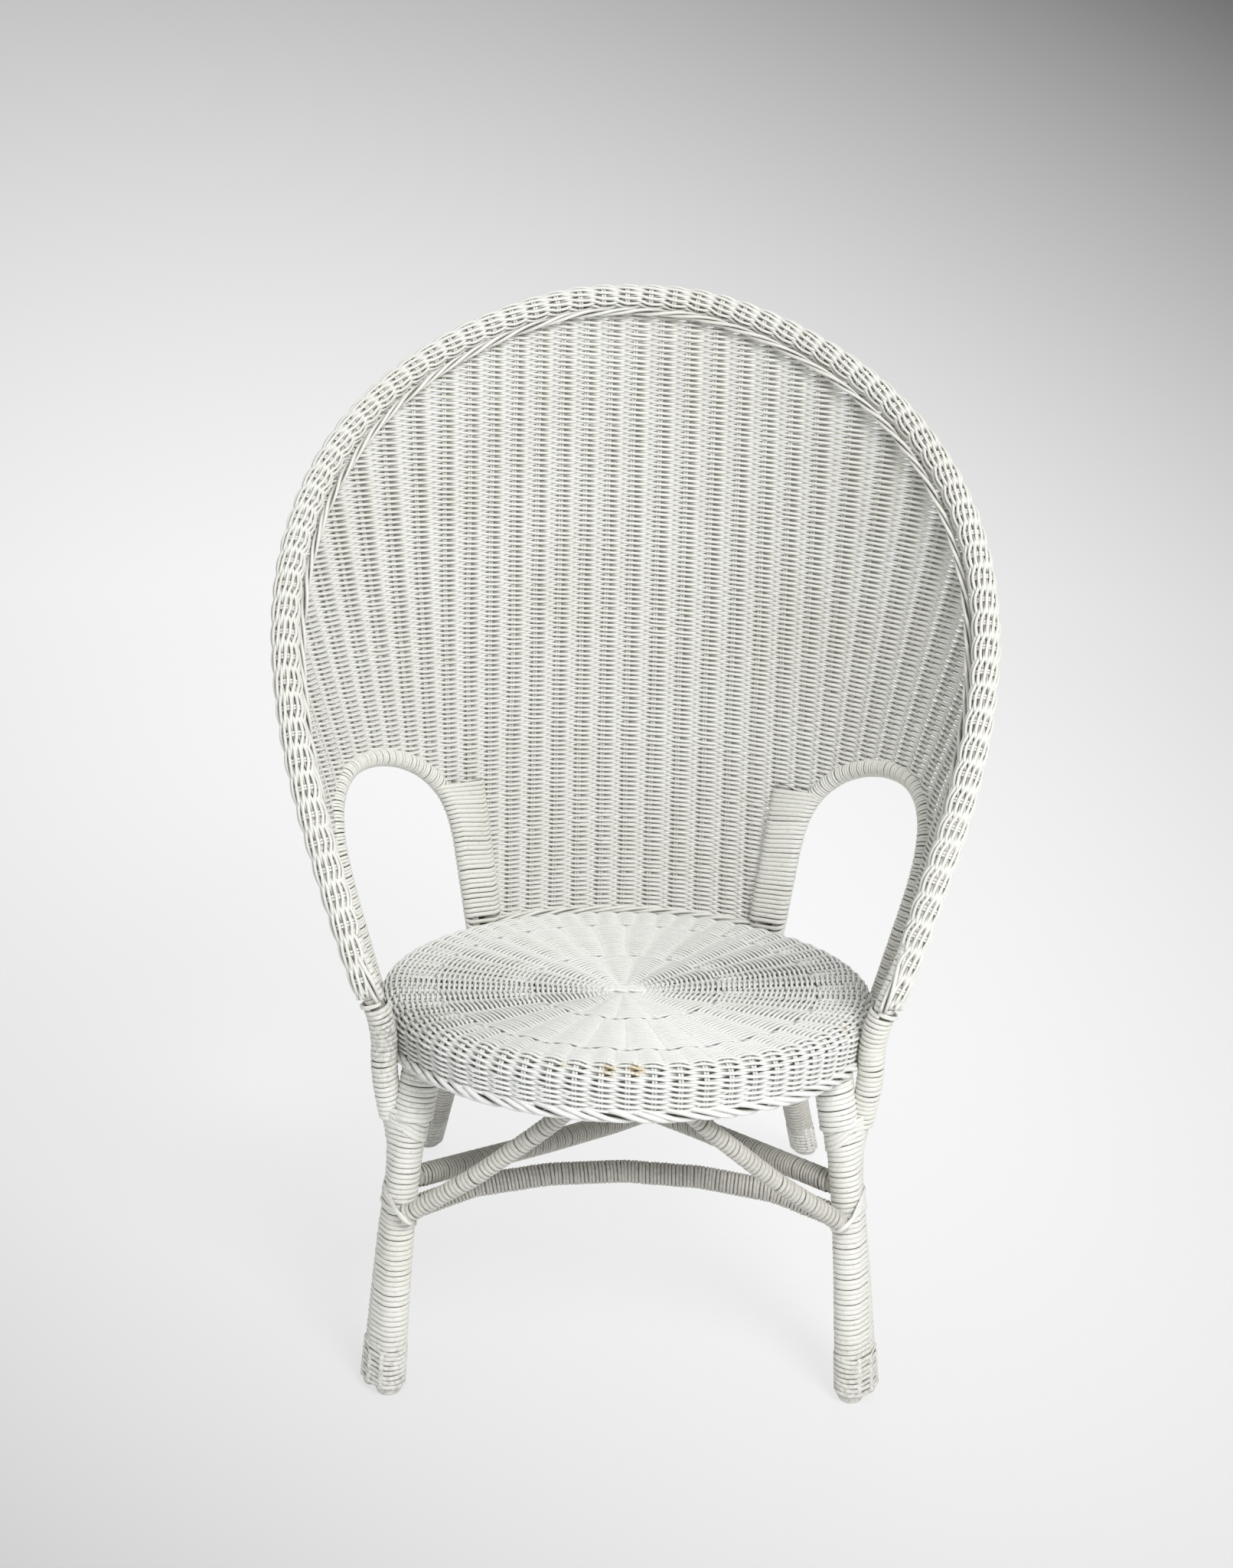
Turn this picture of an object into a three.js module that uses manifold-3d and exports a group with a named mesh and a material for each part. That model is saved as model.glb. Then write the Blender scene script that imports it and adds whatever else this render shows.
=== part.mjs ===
// A round-backed wicker armchair: bent rattan poles bound with cane, a dished seat woven round a hoop,
// and a tall fan-shaped back whose edge is a thick woven roll. Millimetres, +Z up, the sitter faces -Y.
import * as THREE from "three";
import { mergeVertices } from "three/addons/utils/BufferGeometryUtils.js";
import Module from "manifold-3d";

const wasm = await Module();
wasm.setup();

// Fits
const clearance = 0.3;
const hoopClearance = 0.7;
const edgeClearance = 1.4;
const braidClearance = 2.4;
const pairClearance = 1.8;
const windingClearance = 1;

// Seat: a disc of weave over a hoop, rolled down at its edge and falling to the rear
const seatRadius = 260;
const seatHeight = 380;
const seatFallAngle = 3.1;
const seatHoopRadius = 13;
const seatHoopDrop = 6;
const seatWeaveThickness = 6.5;
const seatRibs = 30;
const seatRibHeight = 2.5;
const seatDishHeight = 6;
const seatSkirtLength = 24;
const seatSkirtTaper = 3;
const seatBorderHeight = 11;
const seatBorderWidth = 12;

// Back: a leaning, flaring shell that starts round the seat's edge
const backPostRadius = 11.5;
const backFlare = 0.243;
const backRecline = 0.17;
const panelThickness = 8.6;
const panelValleyThickness = 4.4;
const panelDrop = 26;
const wingRise = 8;

// Stakes of the back: pairs of reeds, evenly apart at one level, that fan out towards the sides
const stakeMiddle = -3;
const stakePitchLeft = 27.8;
const stakePitchRight = 30.8;
const stakeCount = 24;
const stakeLevelRise = 220;
const stakeFanStart = 360;
const stakeFanSpan = 150;
const stakeFanLeast = -0.45;

// Rim: the edge of the back, from the front of one wing over the top to the other
const rimBaseRise = 33;
const rimTopRise = 702;
const rimBaseAngle = 116.4;
const rimRiseExponent = 1.14;
const rimTurnExponent = 1.67;
const rimHoopRadius = 9;
const rimRollRadius = 15.5;
const rimBraidRadius = 4.5;
const rimSpliceShare = 0.03;

// Arm openings: a bent hoop on each side of the shell
const archRearAngle = 40.3;
const archFrontAngle = 86;
const archCrownAngle = 65;
const archCrownRise = 210;
const archSpringRise = 75;
const archFootDrop = 28;
const archExponent = 2.8;
const archHoopRadius = 7;

// Legs
const frontFootSpread = 237.5;
const frontFootForward = 164;
const frontKneeSpread = 223;
const frontKneeForward = 133;
const frontKneeHeight = 230;
const frontLegRadius = 14;
const frontLegTopInset = 13;
const frontLegTopAngle = 118.5;
const armPostFootAngle = 37;
const armPostKneeAngle = 70;
const rearFootSpread = 246;
const rearFootBack = 391;
const rearPostAngle = 35.5;
const rearPostTopDrop = 52;
const rearBendDrop = 75;
const footCapHeight = 46;
const footCapWall = 3.2;
const footCapFloor = 4;
const footCapRound = 5;

// Stretchers and braces under the seat
const stretcherRadius = 10.5;
const crossFrontHeight = 224;
const crossRearHeight = 165;
const frontStretcherHeight = 190;
const frontStretcherRise = 31;
const frontStretcherBow = 38;
const braceRadius = 7.5;
const braceFootHeight = 195;
const braceFootAngle = 254;
const braceHeadSpread = 17;
const braceHeadInset = 12;
const braceSag = 11;

// Cane that binds the poles
const caneWidth = 5;
const caneThickness = 1.5;
const canePitch = 5.7;
const wrapThickness = 1.7;
const windingFootGap = 3;
const windingBraceGap = 32;
const windingStretcherGap = 35;
const upperWindingLoops = 8;
const windingSeatGap = 10;
const windingPostGap = 32;

// Nails that hold the poles to the seat hoop
const nailRadius = 1.5;
const nailHeadRadius = 3.2;
const nailHeadHeight = 1.2;

// Facets
const seatSegments = 30;
const legSides = 6;
const poleSides = 6;
const rollSides = 8;
const rimSteps = 42;
const archSteps = 22;
const legSteps = 14;
const postSteps = 18;
const stretcherSteps = 6;
const braceSteps = 3;
const rollTurns = 3;
const borderSides = 6;
const edgeSteps = 160;
const centreCells = 12;
const wingCells = 4;
const postRows = 4;
const haunchRows = 4;
const wingRows = 8;
const upperRows = 8;
const stakeRows = 3;
const armPostBends = 4;
const backPostBends = 3;
const thickSteps = 4;
const thinSteps = 3;
const loopCorner = 1.12;

const sides = [["left", -1], ["right", 1]];
const degrees = Math.PI / 180;
const seatFall = seatFallAngle * degrees;
const panelBaseHeight = seatHeight - panelDrop;
const wingBaseHeight = seatHeight + wingRise;
const rimBaseHeight = seatHeight + rimBaseRise;
const rimTopHeight = seatHeight + rimTopRise;
const archCrownHeight = seatHeight + archCrownRise;
const archSpringHeight = seatHeight + archSpringRise;
const archFootHeight = seatHeight - archFootDrop;
const rearPostTopHeight = archCrownHeight - rearPostTopDrop;
const rearBendHeight = seatHeight - rearBendDrop;
const stakeLevel = seatHeight + stakeLevelRise;
const lowerWindingBase = footCapHeight + windingFootGap;
const lowerWindingLoops = Math.floor((braceFootHeight - windingBraceGap - lowerWindingBase) / canePitch);
const upperWindingBase = crossFrontHeight + windingStretcherGap;
const postWindingBase = seatHeight + windingSeatGap;
const postWindingLoops = Math.floor((rearPostTopHeight - windingPostGap - postWindingBase) / canePitch);
const rollOuter = seatHoopRadius + hoopClearance + seatWeaveThickness;
const hoopRingRadius = seatRadius - rollOuter;
const seatSkirtDepth = seatHoopDrop + seatSkirtLength + seatBorderHeight;
const shellRadius = seatRadius + backPostRadius + 2 * clearance;
const caneOuter = windingClearance + caneThickness;
const loopSteps = thickSteps + thinSteps + 2;
const archWrapRadius = archHoopRadius + edgeClearance + wrapThickness;

// Materials
const paint = { color: 0xe9e8e0, roughness: 0.55, metalness: 0 };
const poleFinish = new THREE.MeshStandardMaterial(paint);
const weaveFinish = new THREE.MeshStandardMaterial({ ...paint, color: 0xebebe4, roughness: 0.6 });
const caneFinish = new THREE.MeshStandardMaterial({ ...paint, color: 0xe4e2d8 });
const nailFinish = new THREE.MeshStandardMaterial({ color: 0x8c8a84, roughness: 0.5, metalness: 0.8 });

const chair = new THREE.Group();
const seatGroup = new THREE.Group();
seatGroup.position.z = seatHeight;
seatGroup.rotation.x = -seatFall;
chair.add(seatGroup);

// Solids
function solidOf(geometry) {
  const bare = geometry.clone();
  bare.deleteAttribute("normal");
  bare.deleteAttribute("uv");
  const merged = mergeVertices(bare, 1e-4);
  const vertProperties = new Float32Array(merged.attributes.position.array);
  const triVerts = new Uint32Array(merged.index.array);
  return new wasm.Manifold(new wasm.Mesh({ numProp: 3, vertProperties, triVerts }));
}

function geometryOf(solid) {
  const mesh = solid.getMesh();
  const geometry = new THREE.BufferGeometry();
  geometry.setAttribute("position", new THREE.BufferAttribute(new Float32Array(mesh.vertProperties), 3));
  geometry.setIndex(new THREE.BufferAttribute(new Uint32Array(mesh.triVerts), 1));
  return geometry;
}

function cut(geometry, ...cutters) {
  const rest = cutters.reduce((solid, cutter) => solid.subtract(solidOf(cutter)), solidOf(geometry));
  return geometryOf(rest);
}

function add(name, geometry, material, parent = chair) {
  geometry.computeVertexNormals();
  const mesh = new THREE.Mesh(geometry, material);
  mesh.name = name;
  parent.add(mesh);
}

// Curves
class FormulaCurve extends THREE.Curve {
  constructor(at) {
    super();
    this.at = at;
  }

  getPoint(t, target = new THREE.Vector3()) {
    return target.copy(this.at(t));
  }
}

function bend(...points) {
  return new THREE.CatmullRomCurve3(points, false, "centripetal");
}

function mirrored(point, side) {
  return new THREE.Vector3(side * point.x, point.y, point.z);
}

function paramAtHeight(curve, height) {
  let low = 0;
  let high = 1;
  for (let i = 0; i < 40; i += 1) {
    const middle = (low + high) / 2;
    if (curve.getPoint(middle).z < height) low = middle;
    else high = middle;
  }
  return low;
}

function pointAtHeight(curve, height) {
  return curve.getPoint(paramAtHeight(curve, height));
}

function stretch(curve, from, to) {
  return new FormulaCurve((t) => curve.getPoint(from + (to - from) * t));
}

function polygon(radius, count) {
  const corners = [];
  for (let i = 0; i < count; i += 1) {
    const angle = (2 * Math.PI * i) / count;
    corners.push(new THREE.Vector2(radius * Math.cos(angle), radius * Math.sin(angle)));
  }
  return corners;
}

function pole(curve, radius, steps, count = poleSides) {
  const section = new THREE.Shape(polygon(radius, count));
  return new THREE.ExtrudeGeometry(section, { steps, extrudePath: curve });
}

function sleeve(curve, innerRadius, outerRadius, steps, count = poleSides, boreCount = count) {
  const section = new THREE.Shape(polygon(outerRadius, count));
  section.holes.push(new THREE.Path(polygon(innerRadius, boreCount).reverse()));
  return new THREE.ExtrudeGeometry(section, { steps, extrudePath: curve });
}

function cylinderBetween(from, to, radius, count = poleSides) {
  return pole(new THREE.LineCurve3(from, to), radius, 1, count);
}

// Seat surface and hoop
function seatPlaneHeight(y, level) {
  return seatHeight + (level - y * Math.sin(seatFall)) / Math.cos(seatFall);
}

function hoopPoint(angle) {
  const local = new THREE.Vector3(
    hoopRingRadius * Math.sin(angle),
    hoopRingRadius * Math.cos(angle),
    -seatHoopDrop,
  );
  return local.applyMatrix4(seatGroup.matrix);
}
seatGroup.updateMatrix();

function ringProfile(centreRadius, centreHeight, radius, count) {
  const corners = polygon(radius, count).map(
    (corner) => new THREE.Vector2(centreRadius + corner.x, centreHeight + corner.y),
  );
  corners.push(corners[0].clone());
  return corners;
}

function lathe(profile) {
  const geometry = new THREE.LatheGeometry(profile, seatSegments);
  geometry.rotateX(Math.PI / 2);
  return geometry;
}

// Section of the seat's weave, a height below its ribs on the outside
function seatWeaveProfile(fall) {
  const outer = [];
  const inner = [];
  const bore = rollOuter - seatWeaveThickness;
  const roll = rollOuter - fall;
  const skirtEnd = -seatHoopDrop - seatSkirtLength;
  outer.push(new THREE.Vector2(0, seatDishHeight));
  inner.push(new THREE.Vector2(0, seatDishHeight - seatWeaveThickness));
  for (let i = 0; i <= rollTurns; i += 1) {
    const angle = (Math.PI / 2) * (1 - i / rollTurns);
    const turn = new THREE.Vector2(Math.cos(angle), Math.sin(angle));
    outer.push(new THREE.Vector2(hoopRingRadius + roll * turn.x, roll * turn.y - seatHoopDrop));
    inner.push(new THREE.Vector2(hoopRingRadius + bore * turn.x, bore * turn.y - seatHoopDrop));
  }
  outer.push(new THREE.Vector2(hoopRingRadius + roll - seatSkirtTaper, skirtEnd));
  inner.push(new THREE.Vector2(hoopRingRadius + bore - seatSkirtTaper, skirtEnd));
  return [...inner, ...outer.reverse()];
}

// The seat's weave: a turned section whose every other line lies in a valley between two ribs
function seatWeave() {
  const valley = seatWeaveProfile(seatRibHeight);
  const geometry = new THREE.LatheGeometry(seatWeaveProfile(0), 2 * seatRibs);
  const position = geometry.attributes.position;
  for (let i = 1; i < 2 * seatRibs; i += 2) {
    const turn = (Math.PI * i) / seatRibs;
    valley.forEach((point, j) => {
      const place = [point.x * Math.sin(turn), point.y, point.x * Math.cos(turn)];
      position.setXYZ(i * valley.length + j, ...place);
    });
  }
  geometry.rotateX(Math.PI / 2);
  return geometry;
}

function seatBorderProfile() {
  const centreRadius = seatRadius - seatSkirtTaper - seatWeaveThickness / 2;
  const top = -seatHoopDrop - seatSkirtLength - clearance;
  const unit = polygon(1, borderSides);
  const unitTop = Math.max(...unit.map((corner) => corner.y));
  const corners = unit.map(
    (corner) => new THREE.Vector2(
      centreRadius + (corner.x * seatBorderWidth) / 2,
      top + ((corner.y / unitTop - 1) * seatBorderHeight) / 2,
    ),
  );
  corners.push(corners[0].clone());
  return corners;
}

// Back shell
function shellRing(height) {
  const rise = height - seatHeight;
  return { radius: shellRadius + backFlare * rise, back: shellRadius + backRecline * rise };
}

function shellPoint(angle, height) {
  const { radius, back } = shellRing(height);
  return new THREE.Vector3(radius * Math.sin(angle), back - radius + radius * Math.cos(angle), height);
}

function shellPlace(point) {
  const { radius, back } = shellRing(point.z);
  return { angle: Math.atan2(point.x, point.y - back + radius), height: point.z };
}

function shellNormal(angle, height) {
  const step = 0.01;
  const here = shellPoint(angle, height);
  const along = shellPoint(angle + step, height).sub(here);
  const up = shellPoint(angle, height + 1).sub(here);
  return up.cross(along).normalize();
}

function rimPlace(share) {
  const rise = Math.sin((share * Math.PI) / 2);
  const turn = (1 - rise ** rimRiseExponent) ** (1 / rimTurnExponent);
  return {
    angle: rimBaseAngle * degrees * turn,
    height: rimBaseHeight + (rimTopHeight - rimBaseHeight) * rise,
  };
}

function archPlace(share) {
  const alongRear = share < 0.5;
  const climb = 1 - Math.abs(2 * share - 1);
  const height = archFootHeight + (archCrownHeight - archFootHeight) * Math.sin((climb * Math.PI) / 2);
  const lift = Math.max(0, (height - archSpringHeight) / (archCrownHeight - archSpringHeight));
  const width = Math.sqrt(Math.max(0, 1 - lift ** archExponent));
  const legAngle = alongRear ? archRearAngle : archFrontAngle;
  return { angle: (archCrownAngle + (legAngle - archCrownAngle) * width) * degrees, height };
}

// The line that runs beside a line on the shell, a distance away within it
function besideLine(placeAt, distance, from, to, count) {
  const places = [];
  const step = 1e-4;
  for (let i = 0; i <= count; i += 1) {
    const share = from + ((to - from) * i) / count;
    const place = placeAt(share);
    const before = placeAt(Math.max(from, share - step));
    const after = placeAt(Math.min(to, share + step));
    const tangent = shellPoint(after.angle, after.height).sub(shellPoint(before.angle, before.height));
    const aside = tangent.cross(shellNormal(place.angle, place.height)).normalize();
    places.push(shellPlace(shellPoint(place.angle, place.height).addScaledVector(aside, distance)));
  }
  return places;
}

function angleAtHeight(places, height) {
  const rising = places[0].height < places.at(-1).height ? places : [...places].reverse();
  if (height <= rising[0].height) return rising[0].angle;
  for (let i = 1; i < rising.length; i += 1) {
    const low = rising[i - 1];
    const high = rising[i];
    if (height <= high.height) {
      const share = (height - low.height) / (high.height - low.height);
      return low.angle + (high.angle - low.angle) * share;
    }
  }
  return rising.at(-1).angle;
}

const rimCurve = new FormulaCurve((t) => {
  const place = rimPlace(1 - Math.abs(2 * t - 1));
  return mirrored(shellPoint(place.angle, place.height), t < 0.5 ? -1 : 1);
});
const rimEdge = besideLine(rimPlace, rimRollRadius + edgeClearance, 0, 1, edgeSteps);
const archEdgeDistance = archWrapRadius + edgeClearance;
const archRearEdge = besideLine(archPlace, archEdgeDistance, 0, 0.5, edgeSteps / 2);
const archFrontEdge = besideLine(archPlace, archEdgeDistance, 0.5, 1, edgeSteps / 2);

// Angle of a stake, or of a line between two stakes, at a height
function stakeAngle(number, height) {
  const distance = stakeMiddle + number * (number < 0 ? stakePitchLeft : stakePitchRight);
  const levelRadius = shellRing(stakeLevel).radius;
  const fan = Math.min(1, Math.max(stakeFanLeast, (stakeFanStart - Math.abs(distance)) / stakeFanSpan));
  const keep = height < stakeLevel ? Math.max(0, fan) : fan;
  const growth = shellRing(height).radius / levelRadius - 1;
  return distance / (levelRadius * (1 + keep * growth));
}

// A closed solid between two sheets of points that share their rows and columns
function solidSheet(sheets, rows, columns) {
  const positions = sheets.flat().flatMap((point) => point.toArray());
  const behind = rows * columns;
  const at = (row, column) => row * columns + column;
  const index = [];
  const quad = (a, b, c, d) => index.push(a, b, c, a, c, d);
  for (let row = 1; row < rows; row += 1) {
    for (let column = 1; column < columns; column += 1) {
      const corners = [
        at(row - 1, column - 1),
        at(row, column - 1),
        at(row, column),
        at(row - 1, column),
      ];
      quad(...corners);
      quad(...corners.map((corner) => corner + behind).reverse());
    }
  }
  const edge = [];
  for (let column = 0; column < columns - 1; column += 1) edge.push(at(0, column));
  for (let row = 0; row < rows - 1; row += 1) edge.push(at(row, columns - 1));
  for (let column = columns - 1; column > 0; column -= 1) edge.push(at(rows - 1, column));
  for (let row = rows - 1; row > 0; row -= 1) edge.push(at(row, 0));
  edge.forEach((from, i) => {
    const to = edge[(i + 1) % edge.length];
    quad(from, to, to + behind, from + behind);
  });
  const geometry = new THREE.BufferGeometry();
  geometry.setAttribute("position", new THREE.Float32BufferAttribute(positions, 3));
  geometry.setIndex(index);
  return geometry;
}

// The weave of the back before its edges are cut: ridges over the stakes and valleys between them
function ribbedSheet() {
  const columns = 4 * stakeCount + 1;
  const sheets = [1, -1].map((face) => {
    const points = [];
    for (let row = 0; row <= stakeRows; row += 1) {
      const height = panelBaseHeight + ((rimTopHeight - panelBaseHeight) * row) / stakeRows;
      for (let column = 0; column < columns; column += 1) {
        const thickness = column % 2 === 0 ? panelThickness : panelValleyThickness;
        const angle = stakeAngle(column / 2 - stakeCount, height);
        const offset = shellNormal(angle, height).multiplyScalar((face * thickness) / 2);
        points.push(shellPoint(angle, height).add(offset));
      }
    }
    return points;
  });
  return solidSheet(sheets, stakeRows + 1, columns);
}

// Outline of the back: rows of cells between the openings, the posts and the roll, deeper than the weave
function eased(from, to, count) {
  const values = [];
  for (let i = 0; i <= count; i += 1) values.push(from + (to - from) * Math.sin(((Math.PI / 2) * i) / count));
  return values;
}

function panelOutline() {
  const crown = Math.min(archRearEdge.at(-1).height, archFrontEdge[0].height);
  const top = rimEdge.at(-1).height - clearance;
  const postClear = rearPostTopHeight + edgeClearance;
  const haunch = postClear + backPostRadius;
  const postEdge = (height) => rearPostAngle * degrees
    - ((backPostRadius + caneOuter) * loopCorner + clearance) / shellRing(height).radius;
  const crownAngle = archCrownAngle * degrees;
  const cells = [];
  const keys = new Map();
  const places = [];

  function corner(angle, height) {
    const key = `${angle.toFixed(7)},${height.toFixed(5)}`;
    if (!keys.has(key)) {
      keys.set(key, places.length);
      places.push({ angle, height });
    }
    return keys.get(key);
  }

  function block(heights, count, leftAt, rightAt) {
    for (let row = 1; row < heights.length; row += 1) {
      const [low, high] = [heights[row - 1], heights[row]];
      for (let i = 0; i < count; i += 1) {
        const at = (height, share) => leftAt(height) + (rightAt(height) - leftAt(height)) * share;
        const [a, b] = [i / count, (i + 1) / count];
        cells.push([
          corner(at(low, a), low),
          corner(at(low, b), low),
          corner(at(high, b), high),
          corner(at(high, a), high),
        ]);
      }
    }
  }

  const centreEdge = (height) => {
    if (height >= crown) return crownAngle;
    return height <= postClear ? postEdge(height) : angleAtHeight(archRearEdge, height);
  };
  const centreHeights = [];
  for (let i = 0; i <= postRows; i += 1) {
    centreHeights.push(panelBaseHeight + ((postClear - panelBaseHeight) * i) / postRows);
  }
  centreHeights.push(...eased(haunch, crown, haunchRows));
  block(centreHeights, centreCells, (height) => -centreEdge(height), centreEdge);

  const wingInner = (height) => (height >= crown ? crownAngle : angleAtHeight(archFrontEdge, height));
  const wingOuter = (height) => angleAtHeight(rimEdge, height);
  const wingHeights = eased(wingBaseHeight, crown, wingRows);
  block(wingHeights, wingCells, wingInner, wingOuter);
  block(wingHeights, wingCells, (height) => -wingOuter(height), (height) => -wingInner(height));

  const share = crownAngle / wingOuter(crown);
  const seam = (height) => (height === crown ? crownAngle : share * wingOuter(height));
  const upperHeights = eased(crown, top, upperRows);
  block(upperHeights, wingCells, (height) => -wingOuter(height), (height) => -seam(height));
  block(upperHeights, centreCells, (height) => -seam(height), seam);
  block(upperHeights, wingCells, seam, wingOuter);

  const positions = [];
  for (const face of [1, -1]) {
    for (const { angle, height } of places) {
      const offset = shellNormal(angle, height).multiplyScalar(face * panelThickness);
      positions.push(...shellPoint(angle, height).add(offset).toArray());
    }
  }
  const behind = places.length;
  const index = [];
  const edges = new Map();
  for (const [a, b, c, d] of cells) {
    index.push(a, c, b, a, d, c, behind + a, behind + b, behind + c, behind + a, behind + c, behind + d);
    for (const [from, to] of [[a, b], [b, c], [c, d], [d, a]]) {
      if (edges.has(`${to},${from}`)) edges.delete(`${to},${from}`);
      else edges.set(`${from},${to}`, [from, to]);
    }
  }
  for (const [from, to] of edges.values()) {
    index.push(from, to, behind + to, from, behind + to, behind + from);
  }
  const geometry = new THREE.BufferGeometry();
  geometry.setAttribute("position", new THREE.Float32BufferAttribute(positions, 3));
  geometry.setIndex(index);
  return geometry;
}

// Outline round a thick and a thin pole that stand together: its corners go round the thin pole first
function bundlePoint([thick, thin], corner, offset) {
  const between = thin.centre.clone().sub(thick.centre);
  const half = Math.acos((thick.radius - thin.radius) / between.length());
  const onThin = corner <= thinSteps;
  const share = onThin ? corner / thinSteps : (corner - thinSteps - 1) / thickSteps;
  const turn = onThin ? half * (2 * share - 1) : half + 2 * (Math.PI - half) * share;
  const { centre, radius } = onThin ? thin : thick;
  const angle = between.angle() + turn;
  const outward = new THREE.Vector2(Math.cos(angle), Math.sin(angle));
  return centre.clone().addScaledVector(outward, (radius + offset) * loopCorner);
}

// One strip of half-round cane, flat inside, wound round a bundle of poles from a height upwards
function winding(name, circlesAt, base, loops) {
  const rings = [];
  for (let i = 0; i <= loops * loopSteps; i += 1) {
    const middle = base + (canePitch * i) / loopSteps;
    const corners = [[windingClearance, -1], [windingClearance, 1], [caneOuter, 0]].map(([offset, up]) => {
      const height = middle + (up * caneWidth) / 2;
      const place = bundlePoint(circlesAt(height), i % loopSteps, offset);
      return new THREE.Vector3(place.x, place.y, height);
    });
    rings.push(corners);
  }
  let gap = Infinity;
  for (let i = 0; i + loopSteps < rings.length; i += 1) {
    for (let j = i + loopSteps - 1; j <= Math.min(i + loopSteps + 1, rings.length - 1); j += 1) {
      for (const lower of rings[i]) {
        for (const upper of rings[j]) gap = Math.min(gap, lower.distanceTo(upper));
      }
    }
  }
  console.log(`${name}: ${loops} loops, least gap to itself ${gap.toFixed(2)} mm`);
  const positions = rings.flat().flatMap((corner) => corner.toArray());
  const index = [0, 2, 1];
  for (let i = 1; i < rings.length; i += 1) {
    for (let k = 0; k < 3; k += 1) {
      const a = 3 * (i - 1) + k;
      const b = 3 * (i - 1) + ((k + 1) % 3);
      index.push(a, b, b + 3, a, b + 3, a + 3);
    }
  }
  const last = 3 * (rings.length - 1);
  index.push(last, last + 1, last + 2);
  const geometry = new THREE.BufferGeometry();
  geometry.setAttribute("position", new THREE.Float32BufferAttribute(positions, 3));
  geometry.setIndex(index);
  return geometry;
}

// A tube that keeps a clearance round a pole, with its lower end covered
function keepOut(curve, radius, steps, count) {
  const start = curve.getPoint(0);
  const along = curve.getTangent(0);
  const below = start.clone().addScaledVector(along, -clearance);
  const above = start.clone().addScaledVector(along, radius);
  return [
    pole(curve, radius + clearance, steps, count),
    cylinderBetween(below, above, radius + clearance, count),
  ];
}

function flat(point) {
  return new THREE.Vector2(point.x, point.y);
}

// A woven cap round the lower ends of two poles that stand together
function pairedFootCap(circles, ends) {
  const outline = [];
  for (let i = 0; i < loopSteps; i += 1) outline.push(bundlePoint(circles, i, footCapWall));
  const block = new THREE.ExtrudeGeometry(new THREE.Shape(outline), {
    depth: footCapHeight - 2 * footCapRound,
    bevelThickness: footCapRound,
    bevelSize: footCapRound,
    bevelOffset: -footCapRound,
    bevelSegments: 1,
  });
  block.translate(0, 0, footCapRound);
  return cut(block, ...ends);
}

// A woven cap round the lower end of one leaning pole, flat on the floor
function leaningFootCap(foot, curve, radius, ends) {
  const top = pointAtHeight(curve, footCapHeight);
  const line = top.clone().sub(foot);
  const low = foot.clone().addScaledVector(line, -radius / line.z);
  const reach = 4 * radius;
  const floor = new THREE.BoxGeometry(reach, reach, reach);
  floor.translate(foot.x, foot.y, -reach / 2);
  return cut(cylinderBetween(low, top, radius + clearance + footCapWall, rollSides), floor, ...ends);
}

// The point on the line from a foot to the next bend where the tilted end of a pole clears the cap's floor
function poleStart(foot, next, radius) {
  const line = next.clone().sub(foot);
  const lean = Math.hypot(line.x, line.y) / line.length();
  return foot.clone().addScaledVector(line, (footCapFloor + radius * lean) / line.z);
}

function underHoop(angle, inset) {
  const ring = hoopRingRadius - inset;
  const point = new THREE.Vector3(ring * Math.sin(angle), ring * Math.cos(angle), 0);
  return point.setZ(seatPlaneHeight(point.y, -seatHoopDrop));
}

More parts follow.
